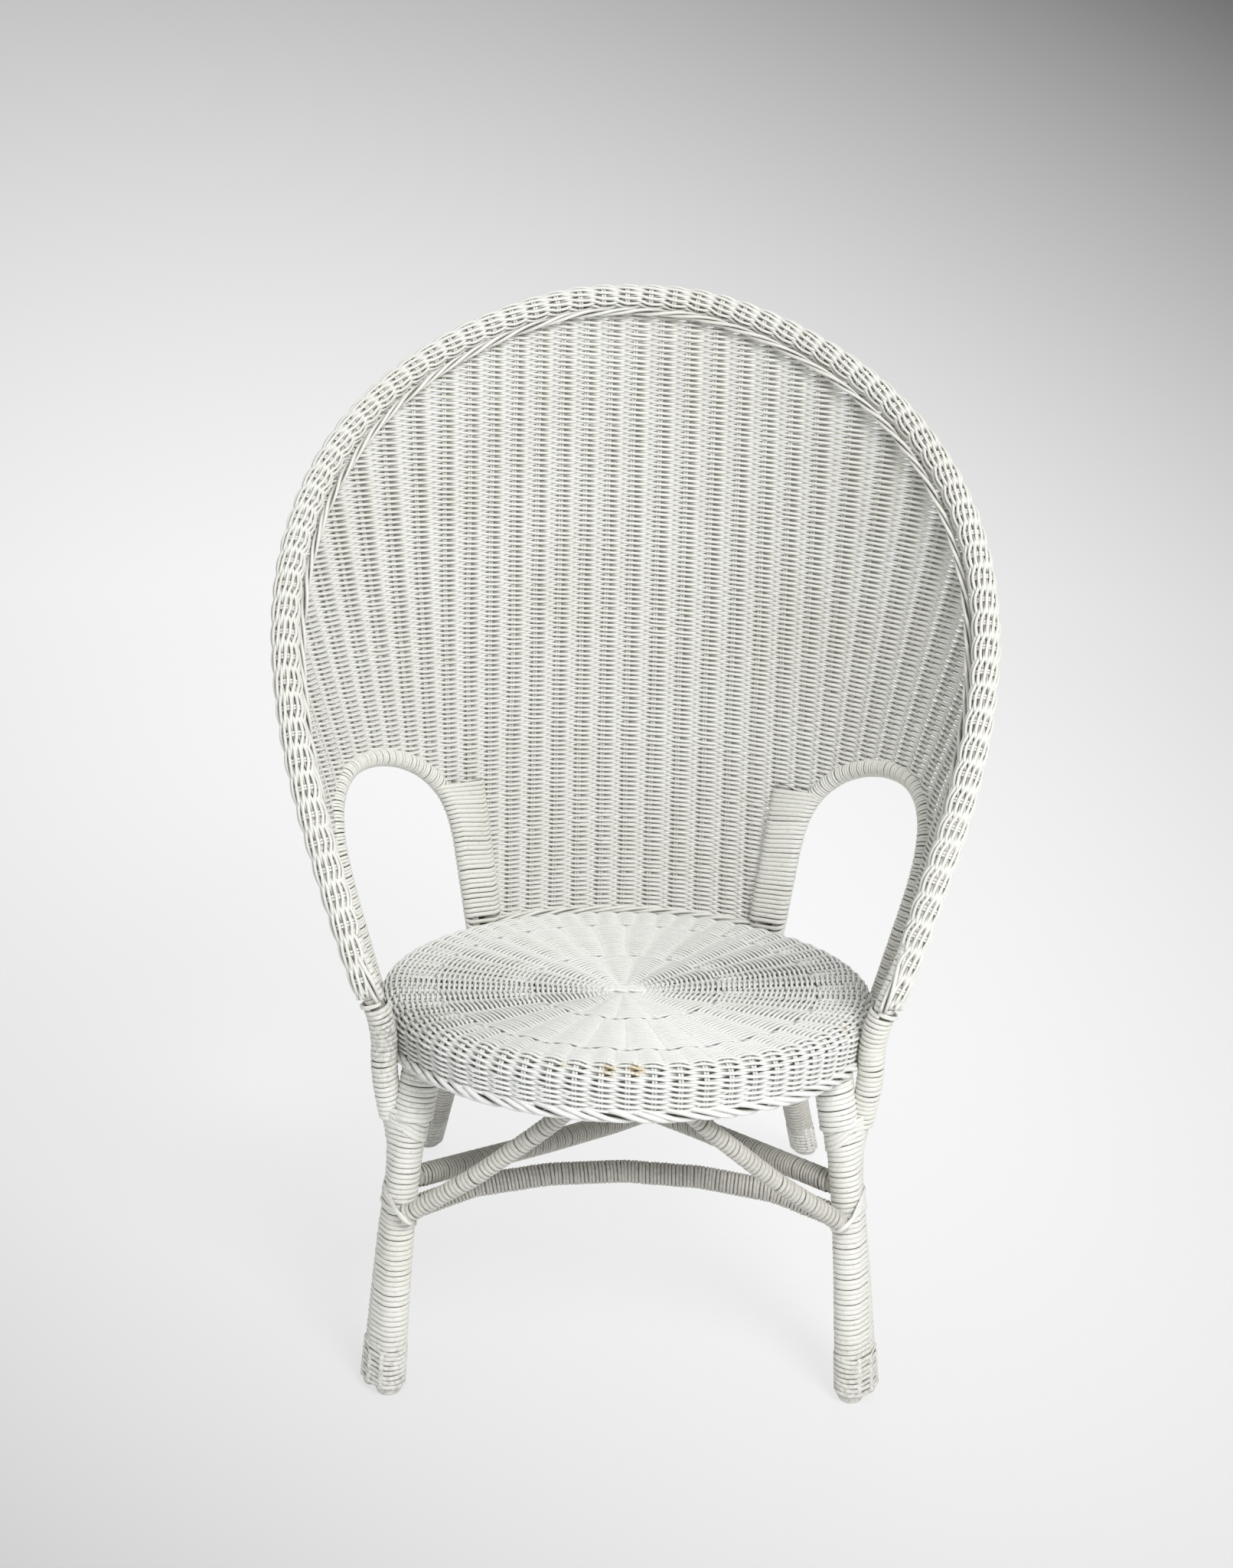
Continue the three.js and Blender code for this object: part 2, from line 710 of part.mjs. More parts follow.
// Poles of one side, drawn for the right and mirrored for the left
function sidePoles(side) {
  const at = (point) => mirrored(point, side);
  const knee = new THREE.Vector3(frontKneeSpread, -frontKneeForward, frontKneeHeight);
  const frontFoot = new THREE.Vector3(frontFootSpread, -frontFootForward, 0);
  const legStart = poleStart(frontFoot, knee, frontLegRadius);
  const legTop = underHoop(frontLegTopAngle * degrees, frontLegTopInset);
  const legPoints = [legStart, knee, legTop];
  const legLine = bend(...legPoints);

  const apart = frontLegRadius + rimHoopRadius + pairClearance;
  const besideLeg = (height) => {
    const climb = height / frontKneeHeight;
    const angle = (armPostFootAngle + (armPostKneeAngle - armPostFootAngle) * climb) * degrees;
    const leg = pointAtHeight(legLine, height);
    return new THREE.Vector3(leg.x + apart * Math.cos(angle), leg.y + apart * Math.sin(angle), height);
  };
  const rimBase = rimPlace(0);
  const splice = rimPlace(rimSpliceShare);
  const postPoints = [];
  for (let i = 0; i <= armPostBends; i += 1) {
    postPoints.push(besideLeg(legStart.z + ((frontKneeHeight - legStart.z) * i) / armPostBends));
  }
  const besideSeat = shellPoint(rimBase.angle, seatHeight);
  postPoints.push(besideSeat.clone().setZ(seatHeight - seatSkirtDepth));
  postPoints.push(besideSeat);
  const rimStart = shellPoint(rimBase.angle, rimBase.height);
  const hoopStart = shellPoint(splice.angle, splice.height);
  const spliceGap = rimStart.clone().sub(hoopStart).setLength(hoopClearance);
  postPoints.push(rimStart, hoopStart.add(spliceGap));

  const rearFoot = new THREE.Vector3(rearFootSpread, rearFootBack, 0);
  const postAngle = rearPostAngle * degrees;
  const seatEdge = shellPoint(postAngle, seatHeight);
  const rearBend = rearFoot.clone().lerp(seatEdge, rearBendHeight / seatHeight);
  const rearPoints = [poleStart(rearFoot, rearBend, backPostRadius), rearBend, seatEdge];
  for (let i = 1; i <= backPostBends; i += 1) {
    const height = seatHeight + ((rearPostTopHeight - seatHeight) * i) / backPostBends;
    rearPoints.push(shellPoint(postAngle, height));
  }
  return {
    frontLeg: bend(...legPoints.map(at)),
    armPost: bend(...postPoints.map(at)),
    rearFoot: at(rearFoot),
    rearLeg: bend(...rearPoints.map(at)),
    arch: new FormulaCurve((t) => {
      const place = archPlace(t);
      return at(shellPoint(place.angle, place.height));
    }),
  };
}

const poles = new Map(sides.map(([name, side]) => [name, sidePoles(side)]));

// Nails go from outside a pole, square through the seat's edge, into the hoop
const nailHoles = [];
function driveNail(name, curve, radius) {
  const first = curve.getPoint(0.5);
  const place = pointAtHeight(curve, hoopPoint(Math.atan2(first.x, first.y)).z);
  const target = hoopPoint(Math.atan2(place.x, place.y));
  const inward = target.clone().sub(place).setZ(0).normalize();
  const start = place.clone().addScaledVector(inward, -radius - clearance);
  const head = start.clone().addScaledVector(inward, -nailHeadHeight);
  const end = target.clone().setZ(place.z);
  const shank = solidOf(cylinderBetween(head.clone().lerp(start, 0.5), end, nailRadius));
  const top = solidOf(cylinderBetween(head, start, nailHeadRadius));
  add(`${name}_nail`, geometryOf(shank.add(top)), nailFinish);
  const reach = end.clone().addScaledVector(inward, clearance);
  nailHoles.push(cylinderBetween(head, reach, nailRadius + clearance));
  const mouth = head.clone().addScaledVector(inward, -radius);
  const pocketFloor = start.clone().addScaledVector(inward, clearance);
  nailHoles.push(cylinderBetween(mouth, pocketFloor, nailHeadRadius + clearance));
}

for (const [name, { armPost, rearLeg, arch }] of poles) {
  driveNail(`${name}_arm_post`, armPost, rimHoopRadius);
  driveNail(`${name}_rear_leg`, rearLeg, backPostRadius);
  driveNail(`${name}_arch_rear`, stretch(arch, 0, 0.5), archHoopRadius);
  driveNail(`${name}_arch_front`, stretch(arch, 1, 0.5), archHoopRadius);
}

// Seat pieces, placed in the tilted seat group
const seatTilt = seatGroup.matrix;
const seatHoles = nailHoles.map((hole) => hole.clone().applyMatrix4(seatTilt.clone().invert()));
const hoopProfile = (gap) => ringProfile(hoopRingRadius, -seatHoopDrop, seatHoopRadius + gap, poleSides);
const hoopKeepOut = lathe(hoopProfile(clearance)).applyMatrix4(seatTilt);
add("seat_hoop", cut(lathe(hoopProfile(0)), ...seatHoles), poleFinish, seatGroup);
add("seat_weave", cut(seatWeave(), ...seatHoles), weaveFinish, seatGroup);
add("seat_border", lathe(seatBorderProfile()), weaveFinish, seatGroup);

// Back pieces
const rimHoop = stretch(rimCurve, rimSpliceShare / 2, 1 - rimSpliceShare / 2);
add("rim_hoop", pole(rimHoop, rimHoopRadius, rimSteps), poleFinish);
const rollBore = rimHoopRadius + edgeClearance;
const rollTube = sleeve(rimCurve, rollBore, rimRollRadius, rimSteps, rollSides, poleSides);
const rollMouths = [...poles.values()].flatMap(
  ({ armPost }) => keepOut(armPost, rimHoopRadius, postSteps, poleSides),
);
add("rim_roll", cut(rollTube, ...rollMouths), weaveFinish);
add("back_panel", geometryOf(solidOf(ribbedSheet()).intersect(solidOf(panelOutline()))), weaveFinish);

const braidReach = panelThickness / 2 + rimBraidRadius + braidClearance;
const braidAside = Math.sqrt((rimRollRadius + rimBraidRadius + hoopClearance) ** 2 - braidReach ** 2);
const braidPlaces = besideLine(rimPlace, braidAside, 0, 1, edgeSteps);
const braidCurve = new FormulaCurve((t) => {
  const share = (1 - Math.abs(2 * t - 1)) * (braidPlaces.length - 1);
  const low = Math.min(Math.floor(share), braidPlaces.length - 2);
  const lift = ({ angle, height }) => shellPoint(angle, height)
    .addScaledVector(shellNormal(angle, height), -braidReach);
  const point = lift(braidPlaces[low]).lerp(lift(braidPlaces[low + 1]), share - low);
  return mirrored(point, t < 0.5 ? -1 : 1);
});
add("rim_braid", pole(braidCurve, rimBraidRadius, rimSteps), weaveFinish);

// A pole and the plain sleeve of cane on it, both fitted to what they meet
function wrappedPole(name, curve, radius, steps, ...seats) {
  add(name, cut(pole(curve, radius, steps), ...seats), poleFinish);
  const outer = radius + clearance + wrapThickness;
  add(`${name}_wrap`, cut(sleeve(curve, radius + clearance, outer, steps), ...seats), caneFinish);
}

// Poles, bindings and feet of each side
const legSeats = [];
for (const [name, { frontLeg, armPost, rearFoot, rearLeg, arch }] of poles) {
  const frontKeepOut = keepOut(frontLeg, frontLegRadius, legSteps, legSides);
  const postKeepOut = keepOut(armPost, rimHoopRadius, postSteps, poleSides);
  const rearKeepOut = keepOut(rearLeg, backPostRadius, postSteps, legSides);
  add(`${name}_front_leg`, cut(pole(frontLeg, frontLegRadius, legSteps, legSides), hoopKeepOut), poleFinish);
  add(`${name}_arm_post`, cut(pole(armPost, rimHoopRadius, postSteps), ...nailHoles), poleFinish);
  add(`${name}_rear_leg`, cut(pole(rearLeg, backPostRadius, postSteps, legSides), ...nailHoles), poleFinish);
  add(`${name}_arch_hoop`, cut(pole(arch, archHoopRadius, archSteps), ...nailHoles), poleFinish);

  const legCircles = (height) => [
    { centre: flat(pointAtHeight(frontLeg, height)), radius: frontLegRadius },
    { centre: flat(pointAtHeight(armPost, height)), radius: rimHoopRadius },
  ];
  const lowerName = `${name}_front_leg_winding`;
  const upperName = `${name}_front_leg_top_winding`;
  add(lowerName, winding(lowerName, legCircles, lowerWindingBase, lowerWindingLoops), caneFinish);
  add(upperName, winding(upperName, legCircles, upperWindingBase, upperWindingLoops), caneFinish);

  const archRear = stretch(arch, 0, 0.5);
  const postCircles = (height) => [
    { centre: flat(pointAtHeight(rearLeg, height)), radius: backPostRadius },
    { centre: flat(pointAtHeight(archRear, height)), radius: archHoopRadius },
  ];
  const postName = `${name}_back_post_winding`;
  add(postName, winding(postName, postCircles, postWindingBase, postWindingLoops), caneFinish);

  const archFrom = paramAtHeight(archRear, rearPostTopHeight) / 2;
  const archTo = 1 - paramAtHeight(stretch(arch, 1, 0.5), postWindingBase) / 2;
  const archCover = stretch(arch, archFrom, archTo);
  const archBore = archHoopRadius + edgeClearance;
  add(`${name}_arch_wrap`, sleeve(archCover, archBore, archWrapRadius, archSteps), caneFinish);

  const legCover = stretch(
    rearLeg,
    paramAtHeight(rearLeg, footCapHeight + clearance),
    paramAtHeight(rearLeg, rearBendHeight),
  );
  const legCoverBore = backPostRadius + 2 * clearance;
  const legCoverRadius = legCoverBore + wrapThickness;
  const rearWrap = sleeve(legCover, legCoverBore, legCoverRadius, stretcherSteps, legSides);
  add(`${name}_rear_leg_wrap`, rearWrap, caneFinish);
  const rearSeat = pole(legCover, legCoverRadius + clearance, stretcherSteps, legSides);
  legSeats.push(...frontKeepOut, ...postKeepOut, rearSeat);

  const frontEnds = [...frontKeepOut, ...postKeepOut];
  add(`${name}_front_foot_cap`, pairedFootCap(legCircles(footCapHeight / 2), frontEnds), caneFinish);
  add(`${name}_rear_foot_cap`, leaningFootCap(rearFoot, rearLeg, backPostRadius, rearKeepOut), caneFinish);

  const side = Math.sign(rearFoot.x);
  const braceRadiusOutside = braceRadius + clearance + wrapThickness;
  const braceFoot = pointAtHeight(frontLeg, braceFootHeight);
  const footReach = frontLegRadius + braceRadiusOutside / 2;
  braceFoot.x += side * footReach * Math.cos(braceFootAngle * degrees);
  braceFoot.y += footReach * Math.sin(braceFootAngle * degrees);
  const headAngle = Math.PI - Math.asin(braceHeadSpread / (hoopRingRadius - braceHeadInset));
  const braceHead = mirrored(underHoop(headAngle, braceHeadInset), side);
  const braceMiddle = braceFoot.clone().lerp(braceHead, 0.5);
  braceMiddle.z -= braceSag;
  const braceLine = bend(braceFoot, braceMiddle, braceHead);
  wrappedPole(`${name}_front_brace`, braceLine, braceRadius, braceSteps, ...frontKeepOut, hoopKeepOut);
}

// Stretchers: two that cross from the front legs to the opposite rear legs, and one between the front legs
const crossGap = stretcherRadius + clearance + wrapThickness + clearance;
for (const [name, from, to, lift] of [
  ["upper_cross_stretcher", "right", "left", crossGap],
  ["lower_cross_stretcher", "left", "right", -crossGap],
]) {
  const start = pointAtHeight(poles.get(from).frontLeg, crossFrontHeight);
  const end = pointAtHeight(poles.get(to).rearLeg, crossRearHeight);
  const middle = start.clone().lerp(end, start.x / (start.x - end.x));
  middle.z += lift;
  wrappedPole(name, bend(start, middle, end), stretcherRadius, stretcherSteps, ...legSeats);
}
const [leftLeg, rightLeg] = ["left", "right"].map(
  (name) => pointAtHeight(poles.get(name).frontLeg, frontStretcherHeight),
);
const frontPoints = [0, 1 / 6, 1 / 2, 5 / 6, 1].map((share) => {
  const swell = Math.abs(Math.sin(Math.PI * share));
  const point = leftLeg.clone().lerp(rightLeg, share);
  point.y += frontStretcherBow * swell;
  point.z += frontStretcherRise * Math.sqrt(swell);
  return point;
});
const frontLine = bend(...frontPoints);
wrappedPole("front_stretcher", frontLine, stretcherRadius, stretcherSteps, ...legSeats);

// The origin is on the floor, under the middle of the chair
const bounds = new THREE.Box3().setFromObject(chair);
chair.position.set(0, -(bounds.min.y + bounds.max.y) / 2, -bounds.min.z);

export default chair;
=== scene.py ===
"""Dresses a round-backed wicker armchair: every strand of its weave, every binding, and its old paint."""

import math

import bpy
import numpy as np
from mathutils import Matrix, Vector


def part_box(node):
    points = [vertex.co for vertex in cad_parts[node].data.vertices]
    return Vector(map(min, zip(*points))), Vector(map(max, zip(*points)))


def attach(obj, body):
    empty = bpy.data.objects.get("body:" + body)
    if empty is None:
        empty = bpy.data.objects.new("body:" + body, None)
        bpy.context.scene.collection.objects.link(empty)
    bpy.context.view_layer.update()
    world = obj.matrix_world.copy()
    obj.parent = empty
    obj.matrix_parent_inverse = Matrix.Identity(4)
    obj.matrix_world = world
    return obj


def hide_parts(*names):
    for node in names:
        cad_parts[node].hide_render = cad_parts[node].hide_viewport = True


bl_info = {
    "name": "Wicker Peacock Chair",
    "version": (1, 0, 0),
    "blender": (4, 5, 0),
    "location": "3D View > Sidebar > Wicker",
    "description": "Weaves, binds and paints a wicker armchair round its solid frame",
    "category": "Object",
}

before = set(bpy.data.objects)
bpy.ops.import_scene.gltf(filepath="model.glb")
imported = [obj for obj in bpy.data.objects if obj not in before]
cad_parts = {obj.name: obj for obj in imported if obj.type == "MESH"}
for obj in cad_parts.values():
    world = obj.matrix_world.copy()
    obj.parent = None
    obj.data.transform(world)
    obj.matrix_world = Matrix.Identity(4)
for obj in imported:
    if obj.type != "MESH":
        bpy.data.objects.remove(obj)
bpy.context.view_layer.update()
SIDES = (("left", -1), ("right", 1))
AXIS_X = 0
AXIS_Z = 2
FULL_TURN = 2 * math.pi

# Seat: its hoop's place comes from the frame
SEAT_FALL = math.radians(3.1)
SEAT_HOOP_DROP = 0.006
SEAT_RADIUS = 0.260
SEAT_ROLL = 0.0202
SEAT_DISH = 0.006
SEAT_SKIRT = 0.024
SEAT_SKIRT_TAPER = 0.003
SEAT_KNOT = (-0.0035, -0.0110)
HOOP_CENTRE = (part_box("seat_hoop")[0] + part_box("seat_hoop")[1]) / 2
SEAT_Y = HOOP_CENTRE.y + SEAT_HOOP_DROP * math.sin(SEAT_FALL)
SEAT_Z = HOOP_CENTRE.z + SEAT_HOOP_DROP * math.cos(SEAT_FALL)

# Back: a leaning shell that flares upwards from the seat's edge
SHELL_RADIUS = 0.2721
SHELL_FLARE = 0.243
SHELL_RECLINE = 0.17
RIM_BASE = SEAT_Z + 0.033
RIM_TOP = SEAT_Z + 0.702
RIM_BASE_ANGLE = math.radians(116.4)
RIM_RISE_POWER = 1.14
RIM_TURN_POWER = 1.67
RIM_POINTS = 1600
CROWN_EASE = 0.005
CROWN_SPAN = math.radians(7.5)
ARCH_REAR = math.radians(40.3)
ARCH_FRONT = math.radians(86)
ARCH_CROWN_ANGLE = math.radians(65)
ARCH_CROWN = SEAT_Z + 0.210
ARCH_SPRING = SEAT_Z + 0.075
ARCH_FOOT = SEAT_Z - 0.028
ARCH_POWER = 2.8
POST_ANGLE = math.radians(35.5)
POST_TOP = SEAT_Z + 0.158
PANEL_BASE = SEAT_Z - 0.022
WING_BASE = SEAT_Z + 0.010

# The view in the photograph
EYE = (-0.0413, SEAT_Y - 1.8996, 1.1515)
EYE_PITCH = 0.2796
EYE_YAW = 0.0128
EYE_ROLL = 0.0251
FOCAL_SHARE = 2521.7 / 2048
SENSOR = 36.0


def length_value(label, text, size):
    """A length that a user may change."""
    return bpy.props.FloatProperty(
        name=label, description=text, default=size, min=0, precision=4, subtype="DISTANCE", unit="LENGTH"
    )


def colour_value(label, text, colour):
    """A colour that a user may change."""
    return bpy.props.FloatVectorProperty(
        name=label, description=text, default=colour, min=0, max=1, size=3, subtype="COLOR"
    )


class WickerReed(bpy.types.PropertyGroup):
    """Round reed of the woven surfaces"""

    radius: length_value("Reed Radius", "Radius of the reed that is woven", 0.00168)
    stake_radius: length_value("Stake Radius", "Radius of the reeds that it is woven round", 0.00140)
    depth: length_value("Weave Depth", "How far a strand swings in front of and behind a stake", 0.0029)
    lift: length_value("Weave Lift", "How far two twined strands part between stakes", 0.0014)
    stagger: length_value("Weave Stagger", "How far a strand drops in front of a stake", 0.0014)
    row_low: length_value("Lower Row Pitch", "Height of a row at the foot of the back", 0.00532)
    row_high: length_value("Upper Row Pitch", "Height of a row at the top of the back", 0.00604)
    roll_row: length_value("Roll Row Pitch", "Distance of the rows round the rim roll", 0.0054)
    ring: length_value("Seat Ring Pitch", "Distance of the rings of the seat", 0.0055)
    rope: length_value("Rope Strand Radius", "Radius of the long strands that edge the weave", 0.0021)


class WickerCane(bpy.types.PropertyGroup):
    """Flat cane that binds the poles"""

    width: length_value("Cane Width", "Width of the cane on the legs", 0.0054)
    thickness: length_value("Cane Thickness", "Thickness of the cane on the legs", 0.0018)
    pitch: length_value("Cane Pitch", "Distance of the turns on the legs", 0.0054)
    fine_width: length_value("Fine Cane Width", "Width of the cane on the arches and stretchers", 0.0035)
    fine_thickness: length_value("Fine Cane Thickness", "Thickness of that finer cane", 0.0013)
    fine_pitch: length_value("Fine Cane Pitch", "Distance of its turns", 0.0038)


class WickerPaint(bpy.types.PropertyGroup):
    """Colours of the paint and of what shows through it"""

    fresh: colour_value("Paint", "Paint where it is clean", (0.845, 0.843, 0.795))
    seat: colour_value("Seat Paint", "Newer paint on the seat", (0.866, 0.872, 0.846))
    # Grey paint of the bars under the seat and of the rear legs, darkened partly as painted shade
    dull_and_shaded: colour_value("Dull Paint", "Thin grey paint on the bars under the seat", (0.600, 0.585, 0.535))
    aged: colour_value("Aged Paint", "Paint where it has yellowed", (0.760, 0.745, 0.665))
    # Colour of real dirt in specks, and of painted shade in the gaps of the weave, on the fill and between
    # turns of cane
    shade_and_grime: colour_value("Grime", "Dirt that has settled in the gaps", (0.235, 0.220, 0.185))
    reed: colour_value("Bare Reed", "Reed where the paint has worn off", (0.600, 0.475, 0.260))
    nail: colour_value("Nail", "Painted-over steel of the nails", (0.420, 0.410, 0.390))
    floor: colour_value("Floor", "Studio floor", (0.900, 0.902, 0.905))
    light: colour_value("Light", "Light that comes from all round", (0.900, 0.915, 0.940))


# Lines, sections and directions
def unit(vectors):
    """Vectors of length one."""
    return vectors / np.linalg.norm(vectors, axis=-1, keepdims=True)


def round_angles(count):
    """Even angles round a full turn."""
    return np.arange(count) * (FULL_TURN / count)


def circle(radius, count=6):
    """A round section, as (across, outward) offsets."""
    angles = round_angles(count)
    return radius * np.stack([np.cos(angles), np.sin(angles)], axis=-1)


def half_round(width, thickness):
    """A section that is flat inside and domed outside."""
    half = [(0.50, 0.0), (0.45, 0.50), (0.24, 0.92)]
    shape = half + [(0.0, 1.0)] + [(-across, out) for across, out in reversed(half)]
    return np.array(shape) * (width, thickness)


def arc_lengths(path):
    """Distance along a path at each of its points."""
    steps = np.linalg.norm(np.diff(path, axis=0), axis=1)
    return np.concatenate([[0.0], np.cumsum(steps)])


def sample(vectors, places, wanted):
    """Vectors that are known at places along a line, at the places that are wanted."""
    return np.stack([np.interp(wanted, places, vectors[:, i]) for i in range(3)], axis=-1)


def along(path, distances):
    """Points of a path at distances along it."""
    return sample(path, arc_lengths(path), distances)


def evenly(path, count):
    """A path with its points at even distances."""
    return along(path, np.linspace(0, arc_lengths(path)[-1], count))


def square_to(tangent, outward):
    """Two directions square to a line: across it, and as far outward as that allows."""
    across = unit(np.cross(outward, tangent))
    return across, np.cross(tangent, across)


def spokes(angles, first, second):
    """Directions at angles round a line, counted from the first direction towards the second."""
    return np.cos(angles)[:, None] * first + np.sin(angles)[:, None] * second


def over_crown(share):
    """How high a line over a crown is: 0 at its two ends, and 1 in the middle."""
    return np.sin((1 - np.abs(2 * share - 1)) * math.pi / 2)


def wander(rng, places, shortest, longest):
    """A smooth random line between about -1 and 1, made of four waves."""
    line = np.zeros(len(places))
    for _ in range(4):
        wave = rng.uniform(shortest, longest)
        line += 0.5 * np.sin(places * (FULL_TURN / wave) + rng.uniform(0, FULL_TURN))
    return line


def to_chair(points):
    """Points of the level seat, tilted and put in their place."""
    points = np.asarray(points, float)
    fall = (math.sin(SEAT_FALL), math.cos(SEAT_FALL))
    y = points[..., 1] * fall[1] + points[..., 2] * fall[0] + SEAT_Y
    z = points[..., 2] * fall[1] - points[..., 1] * fall[0] + SEAT_Z
    return np.stack([points[..., 0], y, z], axis=-1)


def turn_to_chair(vectors):
    """Directions of the level seat, tilted."""
    return to_chair(vectors) - to_chair(np.zeros(3))


def seat_place(angle, radius, level):
    """A point by the seat: angle from the rear, distance from its centre and height over its plane."""
    turn = math.radians(angle)
    return to_chair((radius * math.sin(turn), radius * math.cos(turn), level))


# Places where the paint is worn or dirty: centre, reach and strength
WEAR_SPOTS = (
    (seat_place(-165.5, 0.248, 0.010), 0.013, 0.75),
    (seat_place(-175.5, 0.252, 0.010), 0.014, 1.00),
    (seat_place(179.0, 0.251, 0.010), 0.015, 1.00),
    (seat_place(146.0, 0.256, 0.004), 0.010, 0.80),
    (seat_place(121.0, 0.252, 0.008), 0.011, 0.85),
    (seat_place(-78.0, 0.240, 0.012), 0.016, 0.45),
)
SOIL_SPOTS = (
    (seat_place(-121.0, 0.262, -0.012), 0.055, 0.55),
    (seat_place(-96.0, 0.262, -0.004), 0.050, 0.35),
    (seat_place(78.0, 0.185, 0.012), 0.060, 0.22),
    (seat_place(100.0, 0.265, -0.010), 0.060, 0.25),
)
SPOT_EDGE = 1.25
FOOT_SOIL_HEIGHT = 0.085
FOOT_SOIL = 0.42


def spot_mask(points, spots):
    """How strongly a list of spots marks each point."""
    mask = np.zeros(len(points))
    for centre, reach, strength in spots:
        away = np.linalg.norm(points - centre, axis=1) / reach
        mask = np.maximum(mask, strength * np.clip(SPOT_EDGE - away, 0, 1))
    return mask


class StrandMesh:
    """Gathers swept strands into one mesh, with a tone, inner shade and grime, soil and wear value at every
    point.
    """

    inside_level = 1.3

    def __init__(self):
        self.points = []
        self.loops = []
        self.sizes = []
        self.tones = []
        self.insides = []
        self.count = 0

    def sweep(self, path, outward, section, tone=0.0, closed=False, exposed=0.0, dark=0.0):
        """Sweeps a section along a path. Its second offset points outward.

        Where exposed is 1 the inward side of the strand is darkened with grime and painted shade, and where
        it is -1 the outward side.
        Where dark is 1 the strand is painted dark all round, as the shade of a hole.
        """
        if closed:
            tangent = unit(np.roll(path, -1, axis=0) - np.roll(path, 1, axis=0))
        else:
            tangent = unit(np.gradient(path, axis=0))
        across, lift = square_to(tangent, outward)
        rings = path[:, None] + section[:, :1] * across[:, None] + section[:, 1:] * lift[:, None]
        # Darkening of the sides that face into the weave: painted shade where strands lie in each other's
        # shade, and grime
        height = section[:, 1] - section[:, 1].min()
        depth = self.inside_level - 2 * height / height.max()
        inner_shade_and_grime = np.clip(np.outer(np.broadcast_to(exposed, len(path)), depth), 0, 1)
        self.loft(rings, tone, closed, np.maximum(inner_shade_and_grime, np.broadcast_to(dark, len(path))[:, None]))

    def loft(self, rings, tone=0.0, closed=False, inner_shade_and_grime=0.0):
        """Joins rings of points into a tube, closed at its ends or onto itself."""
        steps, sides = rings.shape[:2]
        index = self.count + np.arange(steps * sides).reshape(steps, sides)
        here = index if closed else index[:-1]
        ahead = np.roll(index, -1, axis=0) if closed else index[1:]
        quads = np.stack([here, np.roll(here, -1, 1), np.roll(ahead, -1, 1), ahead], axis=-1)
        self.loops.append(quads.ravel())
        self.sizes.append(np.full(quads.size // 4, 4))
        if not closed:
            self.loops.append(np.concatenate([index[0][::-1], index[-1]]))
            self.sizes.append(np.array([sides, sides]))
        self.points.append(rings.reshape(-1, 3))
        self.tones.append(np.full(steps * sides, tone))
        self.insides.append(np.broadcast_to(inner_shade_and_grime, (steps, sides)).ravel())
        self.count += steps * sides

    def build(self, name, material):
        """Makes the mesh object."""
        points = np.concatenate(self.points)
        loops = np.concatenate(self.loops)
        sizes = np.concatenate(self.sizes)
        mesh = bpy.data.meshes.new(name)
        mesh.vertices.add(len(points))
        mesh.vertices.foreach_set("co", points.ravel())
        mesh.loops.add(len(loops))
        mesh.loops.foreach_set("vertex_index", loops)
        mesh.polygons.add(len(sizes))
        mesh.polygons.foreach_set("loop_start", np.concatenate([[0], np.cumsum(sizes)[:-1]]))
        mesh.polygons.foreach_set("use_smooth", np.ones(len(sizes), bool))
        mesh.update(calc_edges=True)
        floor_soil = FOOT_SOIL * np.clip(1 - points[:, AXIS_Z] / FOOT_SOIL_HEIGHT, 0, 1)
        marks = {
            "tone": np.concatenate(self.tones),
            "inner_shade_and_grime": np.concatenate(self.insides),
            "soil": np.maximum(spot_mask(points, SOIL_SPOTS), floor_soil),
            "wear": spot_mask(points, WEAR_SPOTS),
        }
        for mark, values in marks.items():
            layer = mesh.attributes.new(mark, "FLOAT", "POINT")
            layer.data.foreach_set("value", values.astype(np.float32))
        mesh.materials.append(material)
        piece = bpy.data.objects.new(name, mesh)
        bpy.context.scene.collection.objects.link(piece)
        return piece


def place(strands, name, finish, slot, *nodes):
    """Adds a piece to the chair, in place of solid nodes."""
    if not strands.count:
        raise RuntimeError(f"{name} has no strands")
    piece = strands.build(name, material_of(finish))
    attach(piece, "root")
    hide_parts(*nodes)


ROPE_SLACK = 0.3
ROPE_SPREAD = (0.92, 1.08)


def rope(strands, path, outward, count, radius, core, lay, rng):
    """Lays long strands round a line, as on the edge of a basket."""
    lengths = arc_lengths(path)
    across, lift = square_to(unit(np.gradient(path, axis=0)), outward)
    for i in range(count):
        slack = ROPE_SLACK * wander(rng, lengths, abs(lay), 4 * abs(lay))
        out = spokes(FULL_TURN * (lengths / lay + i / count) + slack, across, lift)
        section = circle(radius * rng.uniform(*ROPE_SPREAD))
        strands.sweep(path + core * out, out, section, rng.uniform(-1, 1), False, 1.0)


# The shell of the back
def shell_radius(height):
    """Radius of the back at a height."""
    return SHELL_RADIUS + SHELL_FLARE * (height - SEAT_Z)


def shell_point(angle, height):
    """A point of the back at an angle from the rear and a height."""
    radius = shell_radius(height)
    rear = SEAT_Y + (SHELL_RADIUS + SHELL_RECLINE * (height - SEAT_Z))
    return np.stack([radius * np.sin(angle), rear - radius + radius * np.cos(angle), height], axis=-1)


def shell_normal(angle, height):
    """The direction square to the back, away from the sitter."""
    level = np.stack([np.cos(angle), -np.sin(angle), np.zeros_like(angle)], axis=-1)
    slope = SHELL_RECLINE - SHELL_FLARE + SHELL_FLARE * np.cos(angle)
    up = np.stack([SHELL_FLARE * np.sin(angle), slope, np.ones_like(angle)], axis=-1)
    return unit(np.cross(up, level))


def rim_angle(height):
    """Angle of the rim at a height."""
    rise = np.clip((height - RIM_BASE) / (RIM_TOP - RIM_BASE), 0, 1)
    return RIM_BASE_ANGLE * (1 - rise ** RIM_RISE_POWER) ** (1 / RIM_TURN_POWER)


